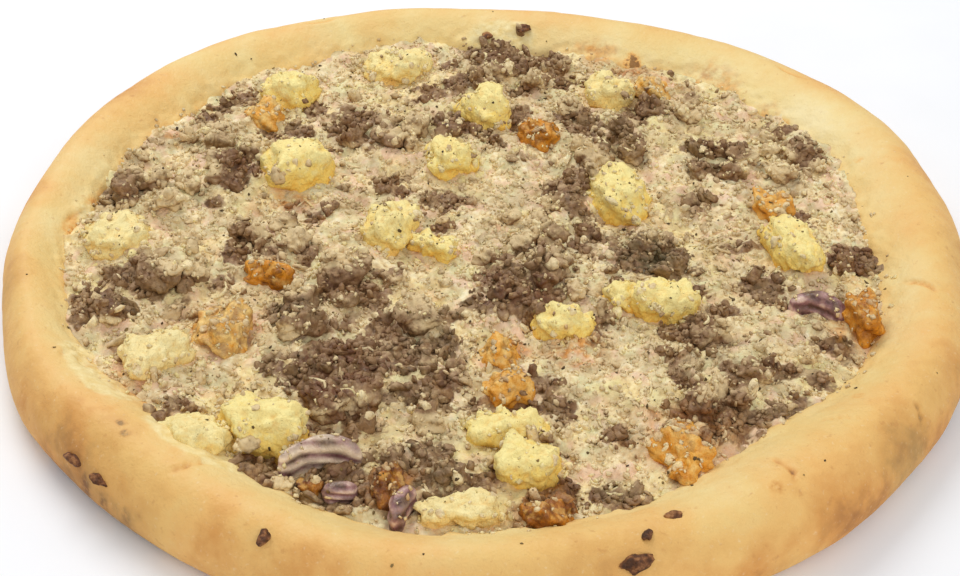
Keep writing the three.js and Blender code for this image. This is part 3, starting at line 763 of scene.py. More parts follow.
bedLevel = bed["height"] + 3  # where the photograph's places are taken
bedSpots = {}  # each kind of spot: place, reach, and strength, which is 1 where none is given
for kind in ("clusters", "gaps", "darkest", "oilAndShade", "redder", "greener", "creamy"):
    bedSpots[kind] = placesOf([(*spot, 1)[:4] for spot in bed[kind]], bedLevel).tolist()


def spotsAt(x, y, *kinds):
    # the strongest of the bed's spots of these kinds at a place
    return patchAt(x, y, [spot for kind in kinds for spot in bedSpots[kind]])


def flatPlaces(x, y):
    # the places as points at height 0
    return np.stack([x, y, 0 * x], -1)


def moundAt(x, y):
    # how much a place belongs to a mound, from 0 to 1, and how high the mounds lift it
    share, rise = np.zeros_like(x), np.zeros_like(x)
    for mx, my, reach, lift in bed["mounds"]:
        here = smoothStep(1.35 - np.hypot(x - mx, y - my) / reach, 0, 1)
        share, rise = np.maximum(share, here), np.maximum(rise, here * lift)
    return share, rise


def bedHeightAt(x, y):
    # level + waves + the mounds' rise, a wave being height x sin(2 pi x way along it / length)
    height = bed["height"] + moundAt(x, y)[1]
    for length, size, turn in bed["waves"]:
        turn = np.radians(turn)
        height = height + size * np.sin(2 * np.pi * (x * np.cos(turn) + y * np.sin(turn)) / length)
    return height


def minceShareAt(x, y):
    # clusters with a ragged outline: their patches at places moved by noise, plus finer noise, sharpened
    place = flatPlaces(x, y)
    moved = [axis + 3.2 * softNoise(place, 9, 71 + k) for k, axis in enumerate((x, y))]
    share = 0.85 * spotsAt(*moved, "clusters") - 0.35 * spotsAt(*moved, "creamy")
    share = share + 0.4 * spotsAt(x, y, "darkest") - 0.6 * spotsAt(x, y, "gaps")
    return smoothStep(share + 0.5 * roughNoise(place, 6, 4, 73), 0.22, 0.88)


def frostAt(x, y):
    # how thickly cheese lies on the mince at a place: most where there is least mince, below 0 where none is
    uneven = 0.3 * roughNoise(flatPlaces(x, y), 12, 3, 201)
    frost = 0.75 * (1 - spotsAt(x, y, "clusters")) + 0.8 * spotsAt(x, y, "creamy", "gaps")
    return np.clip(0.04 + uneven + frost - 0.6 * spotsAt(x, y, "darkest"), -0.5, 1)


def shownAt(y, z):
    # a point off the level of the photograph's places shows where the camera's ray through it meets that
    # level: its height over it / tan(elevation) further back
    return y + (z - bedLevel) / np.tan(np.radians(camera["elevation"]))


def minceUnder(x, y):
    # the share of mince on the bed at a place, as the photograph shows that place
    return minceShareAt(x, shownAt(y, bedHeightAt(x, y) + 1))


def stainsAt(x, y, z):
    # how oily, red, green and frosted with cheese a point is, as the photograph shows it; the oil and the
    # darkest mince hold painted shade in places
    y = shownAt(y, z)
    stains = {"oilAndShade": "oilAndShade", "red": "redder", "green": "greener"}
    return {**{key: spotsAt(x, y, kind) for key, kind in stains.items()}, "frost": frostAt(x, y)}


def discGrid(steps):
    # a square grid laid on a unit disc: rings of the square become circles
    line = np.linspace(-1, 1, steps + 1)
    a, b = np.meshgrid(line, line, indexing="ij")
    wide = np.abs(a) > np.abs(b)
    r = np.where(wide, a, b)
    safe = np.where(r == 0, 1, r)
    angle = np.where(wide, np.pi / 4 * b / safe, np.pi / 2 - np.pi / 4 * a / safe)
    border = np.concatenate([
        np.arange(steps) * (steps + 1),
        np.arange(steps) + steps * (steps + 1),
        np.arange(steps, 0, -1) * (steps + 1) + steps,
        np.arange(steps, 0, -1),
    ])
    return (r * np.cos(angle)).ravel(), (r * np.sin(angle)).ravel(), squareFaces(steps), border


def cheeseColour(tree, tone, shade):
    # finely grated cheese melted together: cream, yellower and greyer in places
    cream = (0.35 * tree.mottle(1.6, 5) + 0.2 * tree.mottle(5, 3, 1.7) + 0.2 * tone + 0.25 * shade).ramp(
        (0.05, 190, 154, 108), (0.3, 230, 202, 150), (0.55, 248, 228, 178), (0.85, 255, 244, 208),
    )
    cream = (tree.noise(7, 4, 9.9).step(0.46, 0.62) * 0.62).over(cream, paint(236, 190, 164))
    cream = (tree.noise(8, 4, 2.9).step(0.46, 0.62) * 0.58).over(cream, paint(218, 216, 164))
    yellower = tree.noise(19, 3, 4.2).step(0.5, 0.66) * 0.35
    return yellower.over(cream, paint(252, 226, 138))


def minceColour(tree, tone, shade):
    # fried mince: browns, redder, greyer or greener in places
    meat = 0.35 * tree.mottle(1.7, 5, 2.3) + 0.2 * tree.mottle(4.5, 3, 8.2) + 0.2 * tone + 0.25 * shade
    meat = meat.ramp((0.1, 68, 37, 9), (0.35, 112, 73, 36), (0.6, 146, 108, 66), (0.9, 186, 150, 106))
    meat = (tree.mottle(7, 3, 7.1) * 0.4).over(meat, paint(130, 96, 76))
    meat = (tree.noise(15, 3, 12.7).step(0.52, 0.62) * 0.35).over(meat, paint(116, 102, 62))
    redder = tree.attribute("red") * tree.mottle(3.4, 3, 3.9) * 0.7
    meat = redder.over(meat, paint(108, 56, 36))
    greener = tree.attribute("green") * tree.mottle(3, 3, 1.1) * 0.7
    return greener.over(meat, paint(122, 114, 82))


def filmColour(tree, frost):
    # fine cheese and fat that have melted over mince, pinker in places, and cream where it lies thick
    film = tree.mottle(1.3, 4).ramp((0.1, 140, 106, 70), (0.5, 176, 144, 102), (0.9, 210, 182, 134))
    film = (tree.mottle(4.4, 3, 6.9) * 0.5).over(film, paint(180, 144, 118))
    return (frost.step(0.4, 0.9) * 0.8).over(film, paint(238, 213, 162))


def melted():
    # cheese, then mince where its share is high, then a film of cheese over the mince, juice, and oil that
    # holds painted shade in places, with painted shade in the gaps between the grains and in the pits
    material, tree = newMaterial("minceAndCheese")
    tone, depth, frost = (tree.attribute(name) for name in ("tone", "depth", "frost"))
    height, shade = tree.grains(1.5)
    cheese = cheeseColour(tree, tone, shade)
    share = (tree.attribute("mince") + 0.5 * (tree.mottle(2.4, 5, 5.7) - 0.5)).step(0.22, 0.7)
    colour = share.over(cheese, minceColour(tree, tone, shade))
    film = 0.36 * tree.mottle(3.6, 5, 1.3) + 0.14 * tree.mottle(1.2, 3) + 0.2 * depth + 0.4 * frost
    film = film.step(0.28, 0.62) * share * (0.62 + 0.3 * frost)
    colour = film.over(colour, filmColour(tree, frost))
    colour = oiledAndShaded(tree, veiled(tree, colour, 0.34), 1)
    # painted shade: darker in the gaps between the grains and in the pits
    between = height.step(0.4, 0.12) * (0.3 + 0.1 * share)
    colour = between.over(colour, share.over(paint(202, 163, 104), paint(66, 38, 16)))
    pits = depth.step(0.3, 0.0) * (0.3 + 0.5 * share)
    colour = pits.over(colour, paint(82, 48, 20))
    specks = tree.noise(1.2, 2, 8.8).step(0.69, 0.74) * 0.5
    colour = specks.over(colour, paint(84, 62, 34))
    tree.surface(colour, 0.62 - 0.14 * share, 0.7 * height + 0.3 * tree.mottle(0.9, 3), 0.3)
    return material


def makeBed():
    # a disc whose height is the bed's, run out to the edge's own height near the rim, plus domes of crumbs:
    # craggier where there is more mince
    u, v, faces, border = discGrid(bed["steps"])
    angle = np.arctan2(v, u)
    section = sectionAt(angle)
    ring = dough["outerRadius"] * flatPlaces(np.cos(angle), np.sin(angle))
    inShare = bed["edgeIn"] + noiseSum(ring, bed["edgeWaves"])
    side, crest, edge = dough["sideEdge"], dough["crest"], dough["toppingEdge"]
    shares = np.array(dough["section"])[side:edge + 1]
    edgeRadius = section[:, side, 0] - inShare * (section[:, side, 0] - section[:, edge, 0])
    edgeHeight = np.interp(inShare, shares[:, 0], shares[:, 1]) * section[:, crest, 1] - bed["sunk"]
    x, y = u * edgeRadius, v * edgeRadius
    place = flatPlaces(x, y)
    mince = minceUnder(x, y)
    large, largeTone = pebbles(place, bed["grains"][0], 91)
    small, smallTone = pebbles(place, bed["grains"][1], 92)
    domes = (bed["minceDomes"], bed["cheeseDomes"])
    craggy, crumbly = (high * large + low * small - start for high, low, start in domes)
    relief = mince * craggy + (1 - mince) * crumbly + noiseSum(place, bed["skinWaves"])
    out = np.hypot(u, v)
    blend = smoothStep(out, bed["blendFrom"], 1)
    z = bedHeightAt(x, y) * (1 - blend) + edgeHeight * blend + relief * smoothStep(1 - out, 0, 0.02)
    top = np.stack([x, y, z], -1)
    walls = [top[border] * (share, share, 0) + (0, 0, height) for share, height in bed["walls"]]
    points = np.concatenate([top, *walls, [(0, 0, bed["walls"][-1][1])]])
    n = len(border)
    rings = [border, len(top) + np.arange(n), len(top) + n + np.arange(n)]
    for upper, lower in zip(rings, rings[1:]):
        wall = twoTriangles(upper, lower, np.roll(lower, -1), np.roll(upper, -1))
        faces = np.concatenate([faces, wall])
    closing = np.stack([rings[-1], np.full(n, len(points) - 1), np.roll(rings[-1], -1)], -1)
    faces = np.concatenate([faces, closing])
    shown = {"mince": mince, "depth": 0.5 * large + 0.5 * small, "tone": 0.5 * largeTone + 0.5 * smallTone}
    shown = {**shown, **stainsAt(x, y, bedHeightAt(x, y) + 1)}
    hidden = np.zeros(len(points) - len(top))
    values = {key: np.concatenate([numbers, hidden]) for key, numbers in shown.items()}
    slot, node = "mince_and_grated_cheese", "mince_and_cheese_bed"
    makePiece("topping_bed", points, faces, melted(), values, node)
    print("bed:", len(faces), "triangles")
    return points, faces


# Lumps of cheese and slices of onion: place, size across, along and up, turn

yellowLumps = {
    "pieces": [
        (-57, 31, 20, 17, 17, 12), (-65, 77, 17.5, 15, 15, -15), (-1, 68, 15, 18, 15, 30),
        (-11, 38.5, 13.5, 13.5, 14, 8), (39.8, 81.5, 16, 14, 14, -10), (39, 20.5, 16.5, 20.5, 15.5, 15),
        (87, -8.5, 11, 24, 15, 20), (-28, 1.5, 14, 18, 14, -20), (-15.5, -4.5, 13, 7, 8.5, -30),
        (49, -30, 16.5, 14, 12, -8), (38.5, -28, 10.5, 8.5, 7.5, 12), (21, -41, 16, 10, 10, 6),
        (-55, -86, 22, 15, 17, -14), (-71, -91, 18, 12, 14, -28), (6, -84, 21, 10, 12, 4),
        (10, -97, 15, 15, 14, -12), (-106, -4.5, 16.5, 16.5, 11, 10), (-6, -113, 20, 9, 8, 3),
        (-31, 97, 20, 15, 12, -5), (-86, -57, 18, 15, 11, 35),
    ],
    # what differs from lump to lump: how pale each is
    "values": {"pale": [0, 0, 0, 0, 0.5, 0, 0, 0.3, 0, 0, 0, 0, 0, 0.6, 0, 0, 0.7, 0.8, 0.5, 0.9]},
    "rough": 0.09,
    "standsOut": 0.12,
    "steps": 18,
    "cuts": (7, 0.74, 0.22),  # flat sides, least distance as a share, most more
    # uneven skin: length, depth
    "skin": [(6, 1.3), (2.6, 0.9)],
    "crumble": (2.1, 1.2),
}
brownedLumps = {
    "pieces": [
        (49, -93, 13, 18, 11, 24), (14.5, -114, 12, 8, 11, 6), (-71, -45, 15, 17, 10, -8),
        (-61, -21, 13, 8, 7, -4), (15.5, 55, 10, 12, 10, 20), (-71.5, 63.5, 11, 8.5, 9, -18),
        (53.5, 82, 9.5, 9, 9, 15), (5, -67, 10, 10, 9, -25), (84.5, 18, 9.5, 11, 9, 0),
        (101, -37, 8, 15, 11, 12), (-22, -107.5, 8, 9, 11, -14), (4, -52, 10, 9, 8, 10),
        (-41.5, -106, 7, 5, 6, 20),
    ],
    # how pale each piece is, from dark amber to peach, and how much dark red it has
    "values": {
        "shade": [0.6, 0.18, 0.86, 0.25, 0.3, 0.75, 0.85, 0.65, 0.65, 0.35, 0, 0.7, 0.05],
        "red": [0.2, 0.5, 0.6, 0, 0.1, 0.1, 0.3, 0.2, 0.2, 0.3, 0.5, 0.1, 0.4],
    },
    "rough": 0.14,
    "standsOut": 0.1,
    "steps": 18,
    "cuts": (6, 0.66, 0.3),
    "skin": [(5, 1.5), (2.2, 0.8)],
    "crumble": (2.2, 0.8),
}
onionSlices = {
    "pieces": [
        (-19.5, -113, 11, 4.2, 9.5, 70, 9), (91, -31, 17, 4.4, 9, -20, 9), (-40, -95.5, 22, 3.6, 11, 12, 13),
        (-34, -107, 8, 3.4, 6, 8, 9),
    ],
    "rough": 0.03,
    "standsOut": 0.15,
    "steps": 20,
    "ridges": (3, 0.3),  # along the slice: how many, how deep
    "values": {"pale": [0.2, 0.1, 1, 0.2]},
}


def blockShape(ball, size, rough, seed, bendRadius=None):
    # a ball pushed out to a rounded block, 1 / (|x|3 + |y|3 + |z|3) to the power 1/3, with a wavy skin,
    # scaled to its size, and bent round an arc where it has a bend radius; size and seed may be one for each
    # copy
    x, y, z = np.moveaxis(ball, -1, 0)
    seed = np.asarray(seed, float)[..., None]
    block = (np.abs(x) ** 3 + np.abs(y) ** 3 + np.abs(z) ** 3) ** (-1 / 3)
    skin = np.sin(4.1 * x + 2.3 * y + 1.7 * seed) * np.sin(3.7 * y - 2.9 * z + 2.9 * seed)
    skin = skin + 0.6 * np.sin(7.3 * z + 5.1 * x + 4.3 * seed)
    points = ball * (block * (1 + rough * skin))[..., None] * np.asarray(size)[..., None, :] / 2
    if bendRadius:
        x, y, z = np.moveaxis(points, -1, 0)
        bend, r = x / bendRadius, bendRadius + y
        points = np.stack([r * np.sin(bend), r * np.cos(bend) - bendRadius, z], -1)
    return points


def chipped(ball, index, cuts):
    # how far out each direction of a ball reaches once planes have cut it: the least of 1 and the plane's
    # distance / (direction . plane), the planes drawn for each copy
    count, least, more = cuts
    reach = np.ones((len(index), len(ball)))
    for k in range(count):
        plane = unit(np.stack([draw(index, 40 + 4 * k + axis) - 0.5 for axis in range(3)], -1))
        distance = least + more * draw(index, 43 + 4 * k)
        reach = np.minimum(reach, distance[:, None] / np.maximum(plane @ ball.T, 0.05))
    return reach


crumbLook = {
    "cuts": (7, 0.5, 0.4),
    "skin": (0.55, 0.3),  # length and height of its noise, for a ball of radius 1
    "flat": ((0.55, 0.4), (0.95, 0.7)),  # least and greatest width and height, as shares of the length
    "radius": 0.64,  # share of its size
    "upright": 1.2,  # the higher, the more of them lie flat
    "apart": 7.0,  # so that each has noise of its own
}


def crumbShape(ball, rng, size):
    # for each size a flattened, chipped ball, made uneven by noise and turned every way
    look = crumbLook
    index = rng.integers(0, 5000, len(size))
    length, height = look["skin"]
    skin = roughNoise(ball + look["apart"] * index[:, None, None], length, 3, 221)
    flat = rng.uniform(*look["flat"], (len(size), 2))
    sizes = size[:, None] * np.concatenate([np.ones((len(size), 1)), flat], axis=1)
    reach = chipped(ball, index, look["cuts"]) * (1 + height * skin)
    shape = ball * reach[..., None] * sizes[:, None] * look["radius"]
    return turnedTo(unit(rng.normal(0, 1, (len(size), 3)) + (0, 0, look["upright"])), rng, shape)


def placedAt(points, x, y, z, turn):
    # turned about the vertical and moved; every value may be one for each copy
    turn = np.radians(np.asarray(turn, float))[..., None]
    px, py, pz = np.moveaxis(points, -1, 0)
    x, y, z = (np.asarray(value, float)[..., None] for value in (x, y, z))
    cos, sin = np.cos(turn), np.sin(turn)
    return np.stack([px * cos - py * sin + x, px * sin + py * cos + y, pz + z], -1)


def onBed(points, x, y, lift, turn):
    # placed with its middle this high over the bed
    return placedAt(points, x, y, bedHeightAt(np.asarray(x), np.asarray(y)) + lift, turn)


def brokenLump(ball, piece, look, number):
    # a rounded block with sides broken off flat, an uneven skin and domes of crumbs, and how deep each
    # point lies
    x, y, across, along, up, turn = piece
    shape = blockShape(ball, (across, along, up), look["rough"], number)
    shape = shape * (0.12 + 0.88 * chipped(ball, np.array([number]), look["cuts"])[0])[:, None]
    shift = 50.0 * number
    for length, depth in look["skin"]:
        shape = shape + ball * (depth * roughNoise(shape + shift, length, 2, 100))[:, None]
    length, depth = look["crumble"]
    dome, tone = pebbles(shape + shift, length, 105)
    shape = shape + ball * (depth * (dome - 0.5))[:, None]
    values = {"rise": shape[:, 2] / up + 0.5, "depth": dome, "tone": tone}
    return onBed(shape, x, y, up * look["standsOut"], turn), values


def ridgedSlice(ball, piece, look, number):
    # a bent block whose sides are ridged along it: depth x cos(2 pi x ridges x way up), the ridges swaying a
    # little, with an uneven skin
    x, y, across, along, up, turn, bend = piece
    ridges, depth = look["ridges"]
    shape = blockShape(ball, (across, along, up), look["rough"], number, bend)
    sway = 0.12 * roughNoise(shape, 6, 2, 133)
    streak = np.cos(2 * np.pi * ridges * (shape[:, 2] / up + 0.1 * ball[:, 0] + sway))
    side = np.stack([0 * streak, ball[:, 1] * streak, 0 * streak], -1)
    shape = shape + depth * side + ball * (0.35 * roughNoise(shape, 5, 2, 131))[:, None]
    return onBed(shape, x, y, up * look["standsOut"], turn), {"streak": 0.5 + 0.5 * streak}


def softCheese():
    # pale on top and golden at the foot, partly its own colour and partly painted light and shade, each grain
    # a shade of its own, with painted shade between the grains and in the pits, and specks of herb
    material, tree = newMaterial("yellowCheese")
    height, shade = tree.grains(1.7)
    uneven = 0.22 * (tree.mottle(4, 4) - 0.5) + 0.14 * (tree.mottle(1.4, 4, 5.1) - 0.5) + 0.2 * (shade - 0.5)
    # paler with height: painted light on the top and painted shade at the foot, over the cheese's own golden
    # colour
    rise = tree.attribute("rise") + uneven + 0.08 * tree.attribute("tone") + 0.1
    colour = rise.ramp(
        (0.1, 220, 148, 54), (0.32, 252, 194, 82), (0.54, 255, 215, 106),
        (0.8, 255, 227, 130), (1, 255, 238, 162),
    )
    colour = (tree.attribute("pale") * 0.7).over(colour, paint(250, 233, 180))
    golden = tree.mottle(3, 5, 9.4) * 0.25
    colour = golden.over(colour, paint(240, 194, 92))
    # painted shade between the grains and in the pits
    between = height.step(0.38, 0.1) * 0.24
    colour = between.over(colour, paint(238, 178, 80))
    pits = tree.attribute("depth").step(0.45, 0.05) * 0.28
    colour = pits.over(colour, paint(230, 168, 72))
    specks = tree.noise(1.0, 2, 6.6).step(0.69, 0.74) * 0.5
    colour = specks.over(colour, paint(140, 102, 44))
    tree.surface(colour, 0.6, 0.6 * height + 0.4 * tree.mottle(0.8, 4), 0.42, 0.25)
    return material


def brownedCheese():
    # amber of each piece's own shade, a little paler higher up as painted light, with painted shade in the
    # pits and a pale film where it looks up that is partly a painted highlight
    material, tree = newMaterial("brownedCheese")
    height, each = tree.grains(1.9)
    mottled = 0.36 * (tree.mottle(3.2, 5) - 0.5) + 0.25 * (each - 0.5)
    # a little paler higher up: painted light on the tops
    shade = tree.attribute("shade") + mottled + 0.12 * tree.attribute("rise")
    colour = shade.ramp(
        (0.05, 104, 60, 10), (0.25, 172, 106, 12), (0.5, 222, 144, 28),
        (0.75, 242, 176, 70), (1, 250, 210, 128),
    )
    colour = (tree.attribute("red") * tree.mottle(3, 4, 4.4)).over(colour, paint(134, 78, 56))
    # painted shade in the pits
    pits = tree.attribute("depth").step(0.5, 0.1) * 0.5
    colour = pits.over(colour, paint(120, 68, 20))
    # pale cheese film where it looks up, partly a painted highlight
    film = (0.6 * tree.mottle(2, 5, 1.9) + 0.3 * tree.facingUp()).step(0.5, 0.85) * 0.5
    colour = film.over(colour, paint(240, 190, 100))
    tree.surface(colour, 0.42, 0.5 * height + 0.5 * tree.mottle(1, 4), 0.4, 0.4)
    return material


def friedOnion():
    # purple and brown in streaks along the slice, darker in the grooves and paler on the ridges, partly
    # painted shade and highlight, with pale flesh on some
    material, tree = newMaterial("friedOnion")
    streak = tree.attribute("streak")
    # the streak follows the ridges: darker in the grooves, partly painted shade, and lighter on the ridges,
    # partly painted highlight
    colour = (0.65 * tree.mottle(3.4, 4) + 0.35 * streak).ramp(
        (0.1, 76, 42, 34), (0.4, 118, 76, 80), (0.65, 156, 108, 112), (0.92, 218, 184, 168),
    )
    pale = tree.attribute("pale") * (0.75 * streak + 0.25 * tree.mottle(2.4, 4, 5.5))
    colour = pale.over(colour, paint(252, 230, 196))
    # film where it looks up, partly a painted highlight
    film = (0.5 * tree.mottle(1.5, 5, 1.9) + 0.4 * tree.facingUp()).step(0.4, 0.8) * 0.3
    colour = film.over(colour, paint(184, 152, 122))
    relief = 0.6 * tree.mottle(1.5, 4) + 0.4 * tree.mottle(0.6, 3)
    tree.surface(colour, 0.3, relief, 0.15, 0.5)
    return material


def makeLumps():
    # for each kind: its look, its shape, its material, its node's name, what the piece's name adds, its slot
    kinds = [
        (yellowLumps, brokenLump, softCheese(), "yellow_cheese", "crumbly", "yellow_cheese"),
        (brownedLumps, brokenLump, brownedCheese(), "browned_cheese", "baked", "browned_cheese"),
        (onionSlices, ridgedSlice, friedOnion(), "onion_slice", "fried", "onion"),
    ]
    meshes = []
    for look, shapeOf, material, node, added, slot in kinds:
        ball, faces = ballGrid(look["steps"])
        for number, piece in enumerate(look["pieces"], 1):
            points, values = shapeOf(ball, piece, look, number)
            values.update({key: numbers[number - 1] for key, numbers in look["values"].items()})
            name = f"{node}_{number:02d}"
            makePiece(f"{name}_{added}", points, faces, material, values, name)
            meshes.append((points, faces))
    print("lumps:", len(meshes), "pieces")
    return meshes


# Fried mince: lumps that stand out of the bed, crumbs and bits

minceLumps = {
    "tries": 420,
    "smallest": 5.5,
    "largest": 11,
    "squash": 0.72,
    "standsOut": 0.12,
    "mostKept": 79,
    "stray": 4,
    "offMounds": 0.08,  # share kept where there is no mound
    "room": (0.62, 0.7),  # kept free round the cheese: share of the lump's size, and more
    "rimRoom": (0.75, 1.05),  # the same along the rim
    "apart": 40.0,  # so that each has noise of its own
    "rough": 0.12,
    "steps": 10,
    "cuts": (6, 0.66, 0.3),
    "crags": [(2.8, 1.2), (1.9, 1.5)],  # noise, then domes of crumbs: length, depth
}
# crumbs pushed up the inner side of the rim: pixel of the photograph across and down, size
climbing = [
    (478, 46, 5), (486, 40, 5.5), (492, 48, 4.5), (499, 43, 5), (507, 50, 4), (514, 44, 4.5), (520, 37, 5),
    (527, 46, 5.5), (534, 54, 5), (488, 54, 5), (505, 58, 4.5), (471, 56, 4), (545, 60, 4.5), (560, 66, 4),
    (772, 120, 4), (780, 128, 4.5), (788, 137, 4), (797, 144, 4.5), (806, 150, 4.5), (815, 156, 5),
    (822, 163, 4), (830, 176, 3.5), (838, 190, 3.5), (98, 196, 4), (107, 186, 4.5), (116, 180, 4),
    (206, 106, 4.5), (214, 98, 4.5), (224, 94, 4), (233, 90, 4), (648, 92, 3.5), (664, 98, 3.5),
    (236, 460, 4), (243, 466, 5), (251, 470, 4.5), (259, 475, 5), (267, 479, 4), (247, 459, 4.5),
    (257, 465, 4), (267, 470, 5), (277, 476, 4.5), (285, 480, 4), (540, 494, 4.5), (549, 490, 5),
    (558, 493, 4.5), (566, 488, 4), (150, 415, 3.5), (156, 420, 4), (163, 424, 3.5), (198, 402, 3.5),
    (206, 405, 4), (192, 406, 3.5), (296, 484, 4), (306, 488, 4), (330, 497, 3.5), (344, 502, 4),
]
climbingLevel = 17
# how many, their sizes, steps of the ball, share kept off the clusters and on lumps, share of the size that
# is sunk in, and more with places of their own
minceCrumbs = {
    "mince_crumbs": {"count": 450, "size": (3, 6.2), "steps": 4, "offClusters": 0.03, "onLumps": 0,
                     "sunk": 0.25, "more": placesOf(climbing, climbingLevel)},
    "mince_bits": {"count": 2900, "size": (1, 2.9), "steps": 2, "offClusters": 0.08, "onLumps": 0.03,
                   "sunk": 0.1, "more": np.zeros((0, 3))},
}
nearRim = 3  # crumbs this near the rim are no larger than the size below
largestNearRim = 4


def nearLump(x, y, reach, lumps=None):
    # true where a crumb of this reach would touch a lump: inside the lump's ellipse grown by the reach
    near = np.zeros(np.shape(x), bool)
    lumps = lumps or yellowLumps["pieces"] + brownedLumps["pieces"] + onionSlices["pieces"]
    for lx, ly, across, along, _, turn, *bend in lumps:
        turn = np.radians(turn)
        u = ((x - lx) * np.cos(turn) + (y - ly) * np.sin(turn)) / (across / 2 + reach)
        bow = along if bend else 0
        v = (-(x - lx) * np.sin(turn) + (y - ly) * np.cos(turn)) / (along / 2 + bow + reach)
        near |= u * u + v * v < 1.15
    return near


def sunflower(tries, stray):
    # even places on the disc: each a golden angle on from the last, at edge x sqrt(share), moved a little
    index = np.arange(tries)
    angle = index * np.pi * (3 - np.sqrt(5))
    edge = sectionAt(angle)[:, dough["toppingEdge"], 0] - 0.35
    reach = edge * np.sqrt((index + 0.5) / tries)
    x = reach * np.cos(angle) + stray * (draw(index, 2) - 0.5)
    y = reach * np.sin(angle) + stray * (draw(index, 3) - 0.5)
    return index, x, y, edge


rayStart = 60  # over everything


def landingOn(meshes):
    # a tree of all the triangles, for rays straight down
    starts = np.cumsum([0] + [len(points) for points, _ in meshes])
    points = np.concatenate([points for points, _ in meshes])
    faces = np.concatenate([faces + start for (_, faces), start in zip(meshes, starts)])
    return BVHTree.FromPolygons(points.tolist(), faces.tolist(), all_triangles=True)


def surfaceUnder(tree, x, y):
    # height and normal of what lies highest at each place
    down = Vector((0, 0, -1))
    hits = [tree.ray_cast(Vector((px, py, rayStart)), down) for px, py in zip(x.tolist(), y.tolist())]
    return np.array([hit[0].z for hit in hits]), np.array([tuple(hit[1]) for hit in hits])


def scattered(rng, tries, beyond=0):
    # even draws over the topping, and a little beyond its edge, with how far beyond it each lies
    angle, share = rng.uniform(0, 2 * np.pi, tries), np.sqrt(rng.uniform(0, 1, tries))
    edge = sectionAt(angle)[:, dough["toppingEdge"], 0]
    reach = share * (edge + beyond)
    return reach * np.cos(angle), reach * np.sin(angle), reach - edge


def friedMince():
    # the bed's mince, with more film on top, partly a painted highlight, and where more cheese lies, and
    # painted shade in the gaps between grains
    material, tree = newMaterial("friedMince")
    height, shade = tree.grains(1.6)
    colour = minceColour(tree, tree.attribute("tone"), shade)
    frost = tree.attribute("frost")
    film = 0.36 * tree.mottle(3.6, 5, 1.9) + 0.14 * tree.mottle(1.2, 3)
    # more film where it faces up: cheese on the tops, partly a painted highlight
    film = film + 0.22 * tree.facingUp() + 0.35 * frost
    film = film.step(0.32, 0.72) * (0.62 + 0.36 * frost)
    colour = film.over(colour, filmColour(tree, frost))
    colour = oiledAndShaded(tree, veiled(tree, colour, 0.42 - 0.32 * frost.step(0, 1)), 0.6)
    # painted shade in the gaps between grains
    between = height.step(0.4, 0.12) * (0.4 - 0.3 * frost.step(0, 1))
    colour = between.over(colour, paint(68, 38, 14))
    tree.surface(colour, 0.5 + 0.15 * film, 0.7 * height + 0.3 * tree.mottle(0.9, 3), 0.33)
    return material


def makeMinceLumps(material):
    # the largest of even places on the mounds that clear the rim and the cheese, as the CAD part has them,
    # each a chipped block covered in crags
    look = minceLumps
    index, x, y, edge = sunflower(look["tries"], look["stray"])
    size = look["smallest"] + (look["largest"] - look["smallest"]) * draw(index, 1) ** 2
    wanted = look["offMounds"] + (1 - look["offMounds"]) * moundAt(x, y)[0]
    (share, more), (rimShare, rimMore) = look["room"], look["rimRoom"]
    fits = (np.hypot(x, y) < edge - rimShare * size - rimMore) & (draw(index, 4) <= wanted)
    fits &= ~nearLump(x, y, share * size + more)
    kept = np.flatnonzero(fits)
    kept = kept[np.argsort(-size[kept], kind="stable")][:look["mostKept"]]
    x, y, size, index = x[kept], y[kept], size[kept], index[kept]
    sizes = np.stack([size, size * (0.7 + 0.3 * draw(index, 6)), size * look["squash"]], -1)
    ball, faces = ballGrid(look["steps"])
    shape = blockShape(ball, sizes, look["rough"], index) * chipped(ball, index, look["cuts"])[..., None]
    apart = shape + look["apart"] * np.arange(len(size))[:, None, None]
    (length, depth), (domeLength, domeDepth) = look["crags"]
    crags = depth * roughNoise(apart, length, 3, 211) + domeDepth * (pebbles(apart, domeLength, 215)[0] - 0.4)
    shape = onBed(shape + ball * crags[..., None], x, y, look["standsOut"] * size, 360 * draw(index, 5))
    values = {"tone": draw(index, 7), **stainsAt(*shape.reshape(-1, 3).T)}
    return makeCopies("mince_lumps", shape, faces, material, values)


def makeCrumbs(name, tree, material, seed):
    # crumbs drawn where there is mince, sunk a little into what lies under them
    rng = np.random.default_rng(seed)
    look = minceCrumbs[name]
    x, y, beyond = scattered(rng, 8 * look["count"])
    wanted = look["offClusters"] + (1 - look["offClusters"]) * minceUnder(x, y)
    wanted = np.where(nearLump(x, y, -0.3 * look["size"][0]), look["onLumps"], wanted)
    kept = chosen(rng, wanted, look["count"])
    x, y, beyond = x[kept], y[kept], beyond[kept]
    size = drawnSizes(rng, look["size"], 1.7, len(x))
    size = np.where(beyond > -nearRim, np.minimum(size, largestNearRim), size)
    x, y, size = (np.concatenate(pair) for pair in zip((x, y, size), look["more"].T))
    z, _ = surfaceUnder(tree, x, y)
    ball, faces = ballGrid(look["steps"])
    level = z + size * (0.22 - look["sunk"] * rng.uniform(0.5, 1.5, len(x)))
    shape = crumbShape(ball, rng, size) + np.stack([x, y, level], -1)[:, None]
    values = {"tone": rng.uniform(0, 1, len(x)), **stainsAt(x, y, level)}
    return makeCopies(name, shape, faces, material, values)


# Browned scraps that lie on the rim: place, size across and along, turn

